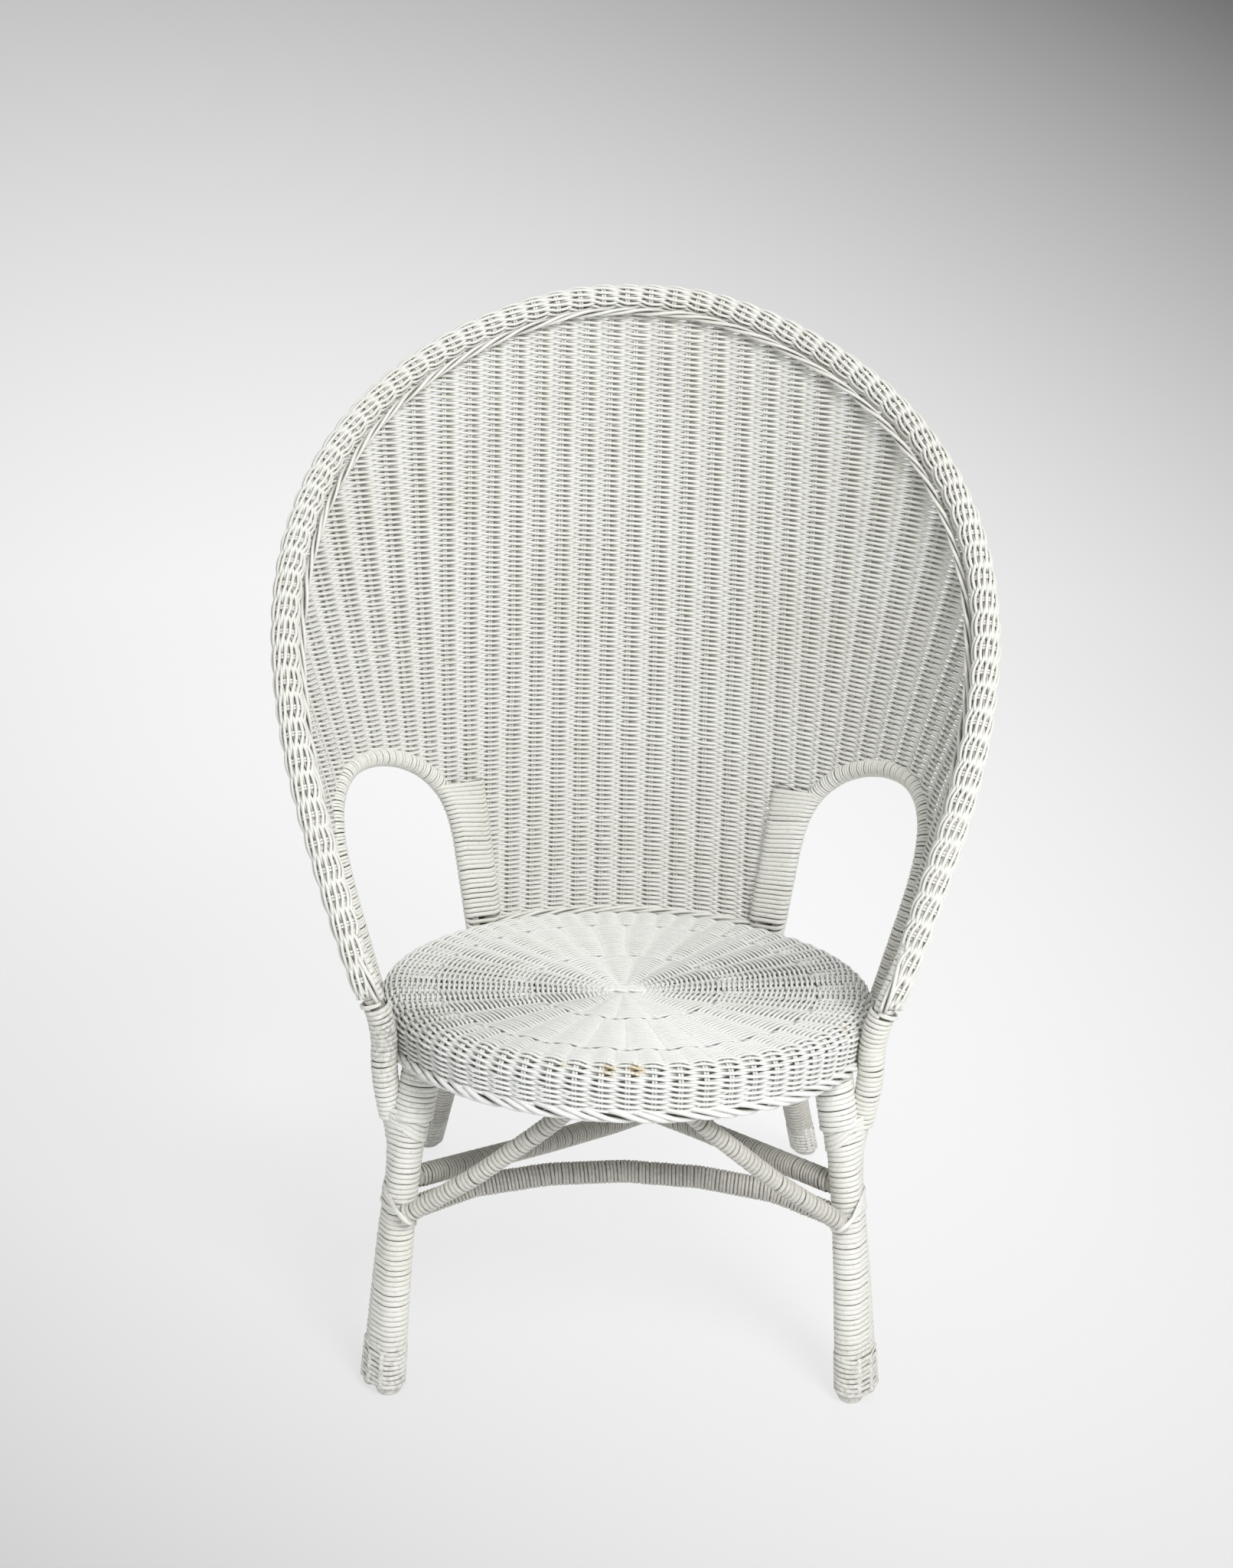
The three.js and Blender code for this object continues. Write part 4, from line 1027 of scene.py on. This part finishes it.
class WICKER_OT_seat(bpy.types.Operator):
    """Weaves the seat: rings of twined reed round pairs of ribs, its knot and the rope under its edge"""

    bl_idname = "wicker.seat"
    bl_label = "Seat"

    sink = 0.0042

    # Ribs: more are put in at two distances from the knot
    first_ribs = 16
    rib_turn = math.radians(17.5)
    rib_start = 0.010
    rib_tuck = 0.004
    rib_points = 44
    least_radius = 0.004
    rib_share = 0.10
    insert = 0.100
    insert_again = 0.202
    insert_growth = 0.036
    least_growth = 0.1

    # Rings: those up to the split are one piece, and the others another
    first_ring = 0.016
    last_ring = 0.2935
    split = 0.165
    ring_steps = (12, 7, 5)
    ring_drift = 0.00025
    ring_slack = 0.0002
    ring_spread = (0.90, 1.02)
    # How dark the inward sides of the ring strands are: painted shade and grime
    ring_shade_and_grime = 0.7
    full_depth_at = 0.06
    least_depth = 0.35
    most_depth = 0.9
    # Painted shade of the small holes where ribs begin: its strength and reach
    slit_shade = 0.95
    slit_reach = 0.0033

    # Knot in the middle: the strands lie over each other
    knot = 0.023
    knot_strands = 5
    knot_points = 21
    knot_sides = 8
    knot_swing = 0.0068
    knot_wave = 2.0
    knot_turn = 1.25
    knot_rise = 0.0030
    knot_cross = 0.0008
    knot_cross_turn = 2.1
    knot_fullness = 1.4
    # How dark the undersides of the knot strands are: painted shade and grime
    knot_shade_and_grime = 0.6

    # Paint between the strands, towards the front and the rear, raised under the knot
    fill_start = 0.002
    fill_end = 0.246
    fill_rings = 62
    fill_level = -0.0040
    fill_under = -0.0052
    fill_rise = 0.0013
    fill_pleat = 0.0007
    fill_side = 0.62
    fill_side_fade = 0.25
    fill_edge = 0.222
    fill_edge_fade = 0.03
    bed = 0.028
    bed_fade = 0.010
    bed_rise = 0.0054
    # Painted shade of the gaps, seen on the fill, and how much less of it where paint bridges them
    gap_shade = 0.65
    gap_painted = 0.45

    border_radius = 0.2537
    border_level = -0.0365
    border_points = 400
    border_strands = 4
    border_fullness = 1.28
    border_core = 1.95
    border_lay = 0.0840

    def execute(self, context):
        reed = context.scene.wicker_reed
        rng = np.random.default_rng(37)
        self.add_rings(reed, rng)
        self.add_ribs(reed, rng)
        self.add_fill()
        self.add_border(reed, rng)
        return {"FINISHED"}

    def ribs_at(self, distance):
        """Number of ribs at a distance from the knot, and of points between two of them."""
        stage = int(distance >= self.insert) + int(distance >= self.insert_again)
        return 2 ** stage * self.first_ribs, self.ring_steps[stage]

    def slits(self, distance, number, ribs):
        """How much painted shade a ring gets beside the ribs that begin there, standing for the dark holes
        of the weave.
        """
        away = (number % 2 - 1) * FULL_TURN / ribs * distance
        return self.slit_shade * np.exp(-(away / self.slit_reach) ** 2)

    def add_rings(self, reed, rng):
        """Rings of two twined reeds, flat where a new rib has just begun, and painted dark beside it as the
        shade of a hole.
        """
        inner = StrandMesh()
        outer = StrandMesh()
        for distance in np.arange(self.first_ring, self.last_ring, reed.ring):
            strands = inner if distance < self.split else outer
            ribs, steps = self.ribs_at(distance)
            number = np.arange(ribs * steps) / steps
            angle = number * (FULL_TURN / ribs) + self.rib_turn
            drift = self.ring_drift * np.cos(3 * angle + rng.uniform(0, 6))
            drift = drift + rng.uniform(-self.ring_slack, self.ring_slack)
            begun = max(start for start in (0, self.insert, self.insert_again) if start <= distance)
            grown = np.clip((distance - begun) / self.insert_growth, self.least_growth, 1)
            flat = (1 - grown) * (0.5 - 0.5 * np.cos(math.pi * number))
            share = np.clip(distance / self.full_depth_at, self.least_depth, self.most_depth)
            depth = reed.depth * share * (1 - flat)
            dark = np.zeros(len(number))
            if begun and distance - begun < reed.ring:
                dark = self.slits(distance, number, ribs)
            for sign, parted, ahead in twine(number):
                place_out = distance + drift - reed.lift * (parted - sign * flat)
                path, out = seat_surface(place_out, angle, self.sink, depth * ahead)
                section = circle(reed.radius * rng.uniform(*self.ring_spread))
                strands.sweep(path, out, section, rng.uniform(-1, 1), True, self.ring_shade_and_grime * ahead, dark)
        place(inner, "seat_rings_inner", "seat_paint", "weave", "seat_weave")
        place(outer, "seat_rings_outer", "seat_paint", "weave", "seat_weave")

    def add_ribs(self, reed, rng):
        """Pairs of ribs from the knot or from where they are put in, and the knot."""
        strands = StrandMesh()
        starts = (self.rib_start, self.insert_again, self.insert, self.insert_again)
        for i in range(4 * self.first_ribs):
            distance = np.linspace(starts[i % 4], self.last_ring + self.rib_tuck, self.rib_points)
            radius = np.maximum(seat_profile(distance, self.sink)[0], self.least_radius)
            middle = self.rib_turn + i * math.pi / 2 / self.first_ribs
            aside = np.minimum(reed.stake_radius * STAKE_ASIDE, self.rib_share * radius)
            for sign in (1, -1):
                path, out = seat_surface(distance, middle + sign * aside / radius, self.sink)
                strands.sweep(path, out, circle(reed.stake_radius), rng.uniform(-1, 1))
        section = circle(reed.stake_radius * self.knot_fullness, self.knot_sides)
        x = np.linspace(-self.knot, self.knot, self.knot_points)
        for i in range(self.knot_strands):
            y = self.knot_swing * np.sin(self.knot_wave * x / self.knot + self.knot_turn * i)
            cross = np.cos(math.pi * x / self.knot + self.knot_cross_turn * i)
            rise = self.knot_rise + self.knot_cross * cross - self.knot_rise * (x / self.knot) ** 6
            path, out = seat_surface(np.hypot(x, y), np.arctan2(x, y), self.sink, rise)
            strands.sweep(path, out, section, rng.uniform(-1, 1), False, self.knot_shade_and_grime)
        place(strands, "seat_ribs", "seat_paint", "weave", "seat_weave")

    def add_fill(self):
        """Paint that bridges the strands near the front and rear of the knot."""
        strands = StrandMesh()
        count = 16 * self.first_ribs
        distance = np.linspace(self.fill_start, self.fill_end, self.fill_rings)
        angle = round_angles(count)
        ahead = np.clip((np.abs(np.cos(angle)) - self.fill_side) / self.fill_side_fade, 0, 1)
        rings = []
        inner_shade_and_grime = []
        for step in distance:
            ribs = self.ribs_at(min(step, self.insert))[0]
            pleat = self.fill_pleat * np.cos(ribs * (angle - self.rib_turn))
            near = np.clip((self.fill_edge - step) / self.fill_edge_fade, 0, 1)
            bed = np.clip((self.bed - step) / self.bed_fade, 0, 1)
            raised = (self.fill_rise + pleat) * ahead * near * (1 - bed)
            reach = self.fill_level + raised + self.bed_rise * bed
            rings.append(seat_surface(np.full(count, step), angle, self.sink, reach)[0])
            # Painted shade on the fill, where it shows between the rings
            inner_shade_and_grime.append((self.gap_shade - self.gap_painted * ahead) * (1 - bed))
        under = np.full(count, self.fill_under)
        for step in distance[::-1]:
            rings.append(seat_surface(np.full(count, step), angle, self.sink, under)[0])
        inner_shade_and_grime += inner_shade_and_grime[::-1]
        strands.loft(np.array(rings)[:, ::-1], 0.0, False, np.array(inner_shade_and_grime)[:, ::-1])
        place(strands, "seat_paint_fill", "seat_paint", "weave", "seat_weave")

    def add_border(self, reed, rng):
        """The rope under the seat's edge."""
        strands = StrandMesh()
        angle = np.linspace(0, FULL_TURN, self.border_points)
        out = np.stack([np.sin(angle), np.cos(angle), 0 * angle], axis=-1)
        path = to_chair(self.border_radius * out + (0, 0, self.border_level))
        radius = reed.rope * self.border_fullness
        core = reed.rope * self.border_core
        rope(strands, path, turn_to_chair(out), self.border_strands, radius, core, self.border_lay, rng)
        place(strands, "seat_border_rope", "seat_paint", "weave", "seat_border")


# Poles and the cane that is wound on them
POLE_CUTS = 60


def pole_axis(node, axis, start, stop):
    """Centres and radius of a solid pole, from where planes square to one axis cut it."""
    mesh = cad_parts[node].data
    points = np.array([vertex.co for vertex in mesh.vertices])
    ends = np.array([edge.vertices for edge in mesh.edges])
    first, second = points[ends[:, 0]], points[ends[:, 1]]
    cuts = []
    for station in np.linspace(start, stop, POLE_CUTS):
        crossing = (first[:, axis] - station) * (second[:, axis] - station) < 0
        low, high = first[crossing], second[crossing]
        share = (station - low[:, axis]) / (high[:, axis] - low[:, axis])
        cuts.append(low + share[:, None] * (high - low))
    centres = np.array([(cut.min(axis=0) + cut.max(axis=0)) / 2 for cut in cuts])
    tangents = unit(np.gradient(centres, axis=0))
    reaches = []
    for cut, centre, tangent in zip(cuts, centres, tangents):
        spread = cut - centre
        square = spread - (spread @ tangent)[:, None] * tangent
        reaches.append(np.linalg.norm(square, axis=1).max())
    return centres, np.median(reaches)


def bar_axis(node, inset):
    """Centres and radius of a bar that runs from side to side, but for an inset at each end."""
    low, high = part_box(node)
    return pole_axis(node, AXIS_X, low.x + inset, high.x - inset)


def at_heights(points, heights):
    """Points of a rising line at heights. Past its end the line goes on straight."""
    end = points[-1] + (points[-1] - points[-2])
    line = np.concatenate([points, [end]])
    return sample(line, line[:, AXIS_Z], heights)


def padded(poles, padding):
    """Two poles, with padding in the hollow between them. One pole stays as it is."""
    if len(poles) != 2:
        return list(poles)
    (first, first_radius), (second, second_radius) = poles
    return [*poles, ((first + second) / 2, (first_radius + second_radius) / 2 + padding)]


def outermost(poles, centres, out):
    """Centre and radius of the pole that reaches furthest in each direction."""
    centres = np.stack(centres)
    radii = np.array([radius for _, radius in poles])
    outer = (np.einsum("pni,ni->pn", centres, out) + radii[:, None]).argmax(axis=0)
    return centres[outer, np.arange(len(out))], radii[outer]


def cane_sizes(context):
    """Width, thickness and pitch of the cane on the legs, and of the fine cane."""
    size = context.scene.wicker_cane
    wide = (size.width, size.thickness, size.pitch)
    return wide, (size.fine_width, size.fine_thickness, size.fine_pitch)


# Cane: points of a turn, its slack in turns, its lift off the pole, and the climb of an upright pole
WIND_STEPS = 18
WIND_SLACK = 0.045
WIND_LIFT = 0.0001
WIND_WAVER = 0.00015
UPRIGHT = 0.6

# How dark the edges of the cane are painted: grime, and painted shade between the turns
LIGHT_EDGE_SHADE_AND_GRIME = 0.3
EDGE_SHADE_AND_GRIME = 0.6
DEEP_EDGE_SHADE_AND_GRIME = 1.0


def wind(strands, poles, cane, rng, bunch=0.0, tilt=0.0, raised=0.0, dirt_and_shade=EDGE_SHADE_AND_GRIME):
    """Winds a strip of cane round poles that run side by side. Each pole has points and a radius.

    The cane is its width, thickness and pitch. Bunch, in turns, draws it together in threes. Tilt lifts
    the turns on the +X side, raised lays them over others, and the last value darkens their edges with dirt
    and painted shade.
    """
    width, thickness, pitch = cane
    line = poles[0][0]
    lengths = arc_lengths(line)
    turns = lengths[-1] / pitch
    turn = np.linspace(0, turns, int(turns * WIND_STEPS))
    spread = WIND_SLACK * (wander(rng, turn, 1.5, 7) + 0.5 * wander(rng, turn, 0.7, 2.2))
    spread += bunch * np.sin(turn * (FULL_TURN / 3))
    distance = np.clip((turn + spread) * pitch, 0, lengths[-1])
    share = distance / lengths[-1]
    centres = [along(points, share * arc_lengths(points)[-1]) for points, _ in poles]
    tangents = unit(np.gradient(line, axis=0))
    tangent = unit(sample(tangents, lengths, distance))
    level = (0.0, 1.0, 0.0) if abs(tangents[0, AXIS_Z]) > UPRIGHT else (0.0, 0.0, 1.0)
    out = spokes(FULL_TURN * turn, *square_to(tangent, level))
    centre, radius = outermost(poles, centres, out)
    lift = raised + WIND_LIFT + WIND_WAVER * wander(rng, turn, 0.8, 3)
    path = centre + (radius + lift)[:, None] * out + (tilt * out[:, AXIS_X])[:, None] * tangent
    strands.sweep(path, out, half_round(width, thickness), rng.uniform(-1, 1), False, dirt_and_shade)


class WICKER_OT_leg_cane(bpy.types.Operator):
    """Winds the cane on the front legs with their arm posts, and on the rear legs"""

    bl_idname = "wicker.leg_cane"
    bl_label = "Leg Cane"

    lowest = 0.03
    foot = 0.046
    fork = 0.290
    fork_lap = 0.004
    leg_end = 0.366
    post_end = 0.412
    post_tuck = 0.004
    rear_end = 0.372
    padding = 0.0026
    leg_padding = 0.0045
    post_padding = 0.0026
    rear_padding = 0.0035
    points = 60

    # Slings: slanted turns over the others, at the foot of the brace and below the fork
    sling_turns = 4
    sling_tilt = 0.36
    sling_lift = 0.8
    sling_drop = 0.008
    brace_inset = 0.004
    brace_height = 1e-4

    # Thin cane on the pole inside the end of the roll
    arm_end = 0.60
    arm_radius = 0.0094
    arm_points = 80
    arm_thinness = 0.5

    def execute(self, context):
        cane = cane_sizes(context)[0]
        rng = np.random.default_rng(41)
        for side, sign in SIDES:
            self.add_front(side, sign, cane, rng)
            self.add_rear(side, cane, rng)
        return {"FINISHED"}

    def add_front(self, side, sign, cane, rng):
        """The cane on a front leg and its arm post: together up to the fork, and apart above it."""
        width, thickness, pitch = cane
        leg = pole_axis(f"{side}_front_leg", AXIS_Z, self.lowest, self.leg_end)
        post = pole_axis(f"{side}_arm_post", AXIS_Z, self.lowest, self.post_end + self.post_tuck)
        both = (leg, post)
        split = self.fork - self.fork_lap
        strands = StrandMesh()
        wind(strands, self.stretch(both, self.foot, self.fork), cane, rng)
        wind(strands, self.stretch((leg,), split, self.leg_end), cane, rng, raised=self.leg_padding)
        wind(strands, self.stretch((post,), split, self.post_end), cane, rng, raised=self.post_padding)
        arm = rim_line()[0][::-sign]
        arm = evenly(arm[: int(np.argmax(arm[:, AXIS_Z] > self.arm_end))], self.arm_points)
        thin = (width, self.arm_thinness * thickness, pitch)
        wind(strands, ((arm, self.arm_radius),), thin, rng, dirt_and_shade=LIGHT_EDGE_SHADE_AND_GRIME)
        half = self.sling_turns * pitch / 2
        tilt = sign * self.sling_tilt * pitch * self.sling_turns
        brace = self.brace_foot(side)
        slings = ((brace[0][0, AXIS_Z], [brace]), (self.fork - self.sling_drop, []))
        for level, more in slings:
            poles = self.stretch(both, level - half, level + half) + more
            wind(strands, poles, cane, rng, tilt=tilt, raised=self.sling_lift * thickness)
        nodes = (f"{side}_front_leg_winding", f"{side}_front_leg_top_winding")
        place(strands, f"{side}_front_leg_cane", "cane_paint", "cane", *nodes)

    def add_rear(self, side, cane, rng):
        """The cane on a rear leg, up to the seat."""
        strands = StrandMesh()
        rear = pole_axis(f"{side}_rear_leg", AXIS_Z, self.lowest, self.rear_end)
        poles = self.stretch((rear,), self.foot, self.rear_end)
        wind(strands, poles, cane, rng, raised=self.rear_padding, dirt_and_shade=DEEP_EDGE_SHADE_AND_GRIME)
        # The rear legs take the darker brace paint, as painted shade
        place(strands, f"{side}_rear_leg_cane", "brace_shaded_paint", "cane", f"{side}_rear_leg_wrap")

    def brace_foot(self, side):
        """A short upright stretch at the foot of a brace, for the cane that holds it to the leg."""
        line, radius = bar_axis(f"{side}_front_brace", self.brace_inset)
        foot = line[0] if line[0, AXIS_Z] < line[-1, AXIS_Z] else line[-1]
        rise = np.linspace(0, self.brace_height, self.points)
        return np.repeat(foot[None], self.points, axis=0) + rise[:, None] * (0, 0, 1), radius

    def stretch(self, poles, low, high):
        """The poles between two heights, with padding in the hollow between two of them."""
        heights = np.linspace(low, high, self.points)
        return padded([(at_heights(line, heights), radius) for line, radius in poles], self.padding)


class WICKER_OT_arch_cane(bpy.types.Operator):
    """Winds the cane on the arches, and on each back post with the rear leg of its arch"""

    bl_idname = "wicker.arch_cane"
    bl_label = "Arch Cane"

    arch_radius = 0.0085
    arch_points = 400
    cover_points = 160
    bunch = 0.10
    base = 0.366
    base_tuck = 0.02
    top_tuck = 0.004
    top_lap = 0.002
    cover_lap = 0.006
    post_points = 50
    post_swell = 0.0003

    def execute(self, context):
        cane, fine = cane_sizes(context)
        rng = np.random.default_rng(53)
        for side, sign in SIDES:
            arch = arch_line(sign, self.arch_points)
            crown = len(arch) // 2
            post, radius = pole_axis(
                f"{side}_rear_leg", AXIS_Z, self.base - self.base_tuck, POST_TOP - self.top_tuck
            )
            shared = np.linspace(self.base, POST_TOP + self.top_lap, self.post_points)
            pair = (
                (at_heights(post, shared), radius + self.post_swell),
                (at_heights(arch[:crown], shared), self.arch_radius),
            )
            strands = StrandMesh()
            wind(strands, pair, cane, rng)
            place(strands, f"{side}_back_post_cane", "cane_paint", "cane", f"{side}_back_post_winding")
            start = int(np.argmax(arch[:, AXIS_Z] > POST_TOP - self.cover_lap))
            stop = crown + int(np.argmax(arch[crown:, AXIS_Z] < self.base))
            cover = evenly(arch[start:stop], self.cover_points)
            strands = StrandMesh()
            wind(strands, ((cover, self.arch_radius),), fine, rng, bunch=self.bunch, dirt_and_shade=LIGHT_EDGE_SHADE_AND_GRIME)
            place(strands, f"{side}_arch_cane", "cane_paint", "cane", f"{side}_arch_wrap")
        return {"FINISHED"}


class WICKER_OT_stretcher_cane(bpy.types.Operator):
    """Winds the cane on the stretchers and on the braces under the seat"""

    bl_idname = "wicker.stretcher_cane"
    bl_label = "Stretcher Cane"

    stretchers = ("upper_cross_stretcher", "lower_cross_stretcher", "front_stretcher")
    inset = 0.002
    bunch = 0.05

    def execute(self, context):
        cane, fine = cane_sizes(context)
        rng = np.random.default_rng(67)
        bars = [(name, fine, "grey_shaded_paint") for name in self.stretchers]
        bars += [(f"{side}_front_brace", cane, "brace_shaded_paint") for side, _ in SIDES]
        for name, strip, finish in bars:
            strands = StrandMesh()
            wind(strands, (bar_axis(name, self.inset),), strip, rng, bunch=self.bunch, dirt_and_shade=DEEP_EDGE_SHADE_AND_GRIME)
            place(strands, f"{name}_cane", finish, "cane", f"{name}_wrap")
        return {"FINISHED"}


class WICKER_OT_foot_caps(bpy.types.Operator):
    """Plaits the caps on the feet, over the rounded ends of the poles"""

    bl_idname = "wicker.foot_caps"
    bl_label = "Foot Caps"

    height = 0.050
    wall = 0.0018
    groove = 0.0090
    padding = 0.0022
    rear_padding = 0.0035
    front_low = 0.012
    rear_low = 0.016
    high = 0.08

    end_sides = 24
    end_rings = 9
    end_height = 1.5
    end_tuck = 0.42
    end_round = 1.6
    end_shade = 0.9

    sides = 72
    lining_depth = 0.0014
    lining_middle = 0.025
    lining_tuck = 0.001
    lining_shade = 0.8

    rows = 8
    row_lap = 1.02
    row_drift = 0.0004
    row_swing = 0.0007
    bed = 0.0009
    checks = 4
    check_gap = 0.0105
    check_width = 1.2
    check_tuck = 0.001
    check_swing = 0.0008
    check_points = 40

    def execute(self, context):
        cane = context.scene.wicker_cane
        rng = np.random.default_rng(71)
        for side, sign in SIDES:
            outward = math.atan2(-0.5, sign)
            leg = pole_axis(f"{side}_front_leg", AXIS_Z, self.front_low, self.high)
            post = pole_axis(f"{side}_arm_post", AXIS_Z, self.front_low, self.high)
            self.add_cap(f"{side}_front", (leg, post), outward, cane, rng)
            rear, radius = pole_axis(f"{side}_rear_leg", AXIS_Z, self.rear_low, self.high)
            self.add_cap(f"{side}_rear", ((rear, radius + self.rear_padding),), outward, cane, rng)
        return {"FINISHED"}

    def outline(self, poles, angle, height, offset):
        """Points round the poles at heights, and the outward direction at each."""
        out = np.stack([np.cos(angle), np.sin(angle), 0 * angle], axis=-1)
        centres = []
        for points, _ in poles:
            slope = (points[-1] - points[0]) / (points[-1, AXIS_Z] - points[0, AXIS_Z])
            centres.append(points[0] + (height - points[0, AXIS_Z])[:, None] * slope)
        centre, radius = outermost(poles, centres, out)
        return centre + (radius + offset)[:, None] * out, out

    def add_end(self, strands, pole):
        """The rounded end of a pole, which stands on the floor, painted darker towards the groove as painted
        shade.
        """
        angle = round_angles(self.end_sides)
        rings = []
        for share in np.linspace(0, 1, self.end_rings):
            height = np.full(self.end_sides, self.groove * self.end_height * share)
            inward = 1 - min(1, self.end_round * share)
            tuck = pole[1] * self.end_tuck * (1 - math.sqrt(1 - inward ** 2))
            rings.append(self.outline((pole,), angle, height, -tuck)[0])
        # Painted shade, darker up towards the groove
        inner_shade_and_grime = np.linspace(0.0, self.end_shade, self.end_rings)[:, None] ** 2
        strands.loft(np.array(rings), 0.0, False, inner_shade_and_grime)

    def add_cap(self, name, poles, outward, cane, rng):
        """The ends of the poles, a lining painted dark as the shade in the groove, rows of cane round it,
        and checks on its outer side.
        """
        strands = StrandMesh()
        for pole in poles:
            self.add_end(strands, pole)
        poles = padded(poles, self.padding)
        angle = outward + round_angles(self.sides)
        lining = [
            self.outline(poles, angle, np.full(self.sides, level), self.wall - self.lining_depth)[0]
            for level in (self.groove, self.lining_middle, self.height - self.lining_tuck)
        ]
        strands.loft(np.array(lining), -0.5, False, self.lining_shade)
        radius = np.linalg.norm(np.ptp(lining[0], axis=0)) / 2
        middle = (self.checks - 1) / 2
        aside = (angle - outward + math.pi) % FULL_TURN - math.pi
        number = aside * radius / self.check_gap + middle
        plaited = np.clip(self.checks / 2 + 0.5 - np.abs(number - middle), 0, 1)
        low = self.groove + cane.width / 2
        step = (self.height - cane.width / 2 - low) / (self.rows - 1)
        section = half_round(step * self.row_lap, cane.thickness)
        for row in range(self.rows):
            height = np.full(self.sides, low + row * step) + self.row_drift * np.sin(angle * 2 + row)
            swing = self.row_swing * np.cos(math.pi * (number + row)) * plaited
            path, out = self.outline(poles, angle, height, self.wall + swing - self.bed)
            strands.sweep(path, out, section, rng.uniform(-1, 1), True, 1.0)
        section = half_round(cane.width * self.check_width, cane.thickness)
        for check in range(self.checks):
            top = self.height - step * (check % 3)
            height = np.linspace(self.groove + self.check_tuck, top, self.check_points)
            swing = -self.check_swing * np.cos(math.pi * ((height - low) / step + check))
            turn = np.full(self.check_points, outward + (check - middle) * self.check_gap / radius)
            path, out = self.outline(poles, turn, height, self.wall + swing - self.bed)
            strands.sweep(path, out, section, rng.uniform(-1, 1), False, 1.0)
        place(strands, f"{name}_foot_plait", "cane_paint", "cane", f"{name}_foot_cap")


class WICKER_PT_panel(bpy.types.Panel):
    """Lists the chair's sizes, colours and makers"""

    bl_idname = "WICKER_PT_panel"
    bl_label = "Wicker Chair"
    bl_space_type = "VIEW_3D"
    bl_region_type = "UI"
    bl_category = "Wicker"

    def draw(self, context):
        layout = self.layout
        for name in VALUE_GROUPS:
            group = getattr(context.scene, name)
            box = layout.box()
            for value in group.__annotations__:
                box.prop(group, value)
        for maker in MAKERS:
            layout.operator(maker.bl_idname)


VALUE_GROUPS = {"wicker_reed": WickerReed, "wicker_cane": WickerCane, "wicker_paint": WickerPaint}
MAKERS = (
    WICKER_OT_stage,
    WICKER_OT_solids,
    WICKER_OT_back,
    WICKER_OT_rim,
    WICKER_OT_seat,
    WICKER_OT_leg_cane,
    WICKER_OT_arch_cane,
    WICKER_OT_stretcher_cane,
    WICKER_OT_foot_caps,
)
CLASSES = (*VALUE_GROUPS.values(), *MAKERS, WICKER_PT_panel)


def register():
    for part in CLASSES:
        bpy.utils.register_class(part)
    for name, group in VALUE_GROUPS.items():
        setattr(bpy.types.Scene, name, bpy.props.PointerProperty(type=group))


def unregister():
    for name in VALUE_GROUPS:
        delattr(bpy.types.Scene, name)
    for part in reversed(CLASSES):
        bpy.utils.unregister_class(part)


def main():
    register()
    bpy.ops.wicker.stage()
    bpy.ops.wicker.solids()
    bpy.ops.wicker.back()
    bpy.ops.wicker.rim()
    bpy.ops.wicker.seat()
    bpy.ops.wicker.leg_cane()
    bpy.ops.wicker.arch_cane()
    bpy.ops.wicker.stretcher_cane()
    bpy.ops.wicker.foot_caps()


if __name__ == "__main__":
    main()
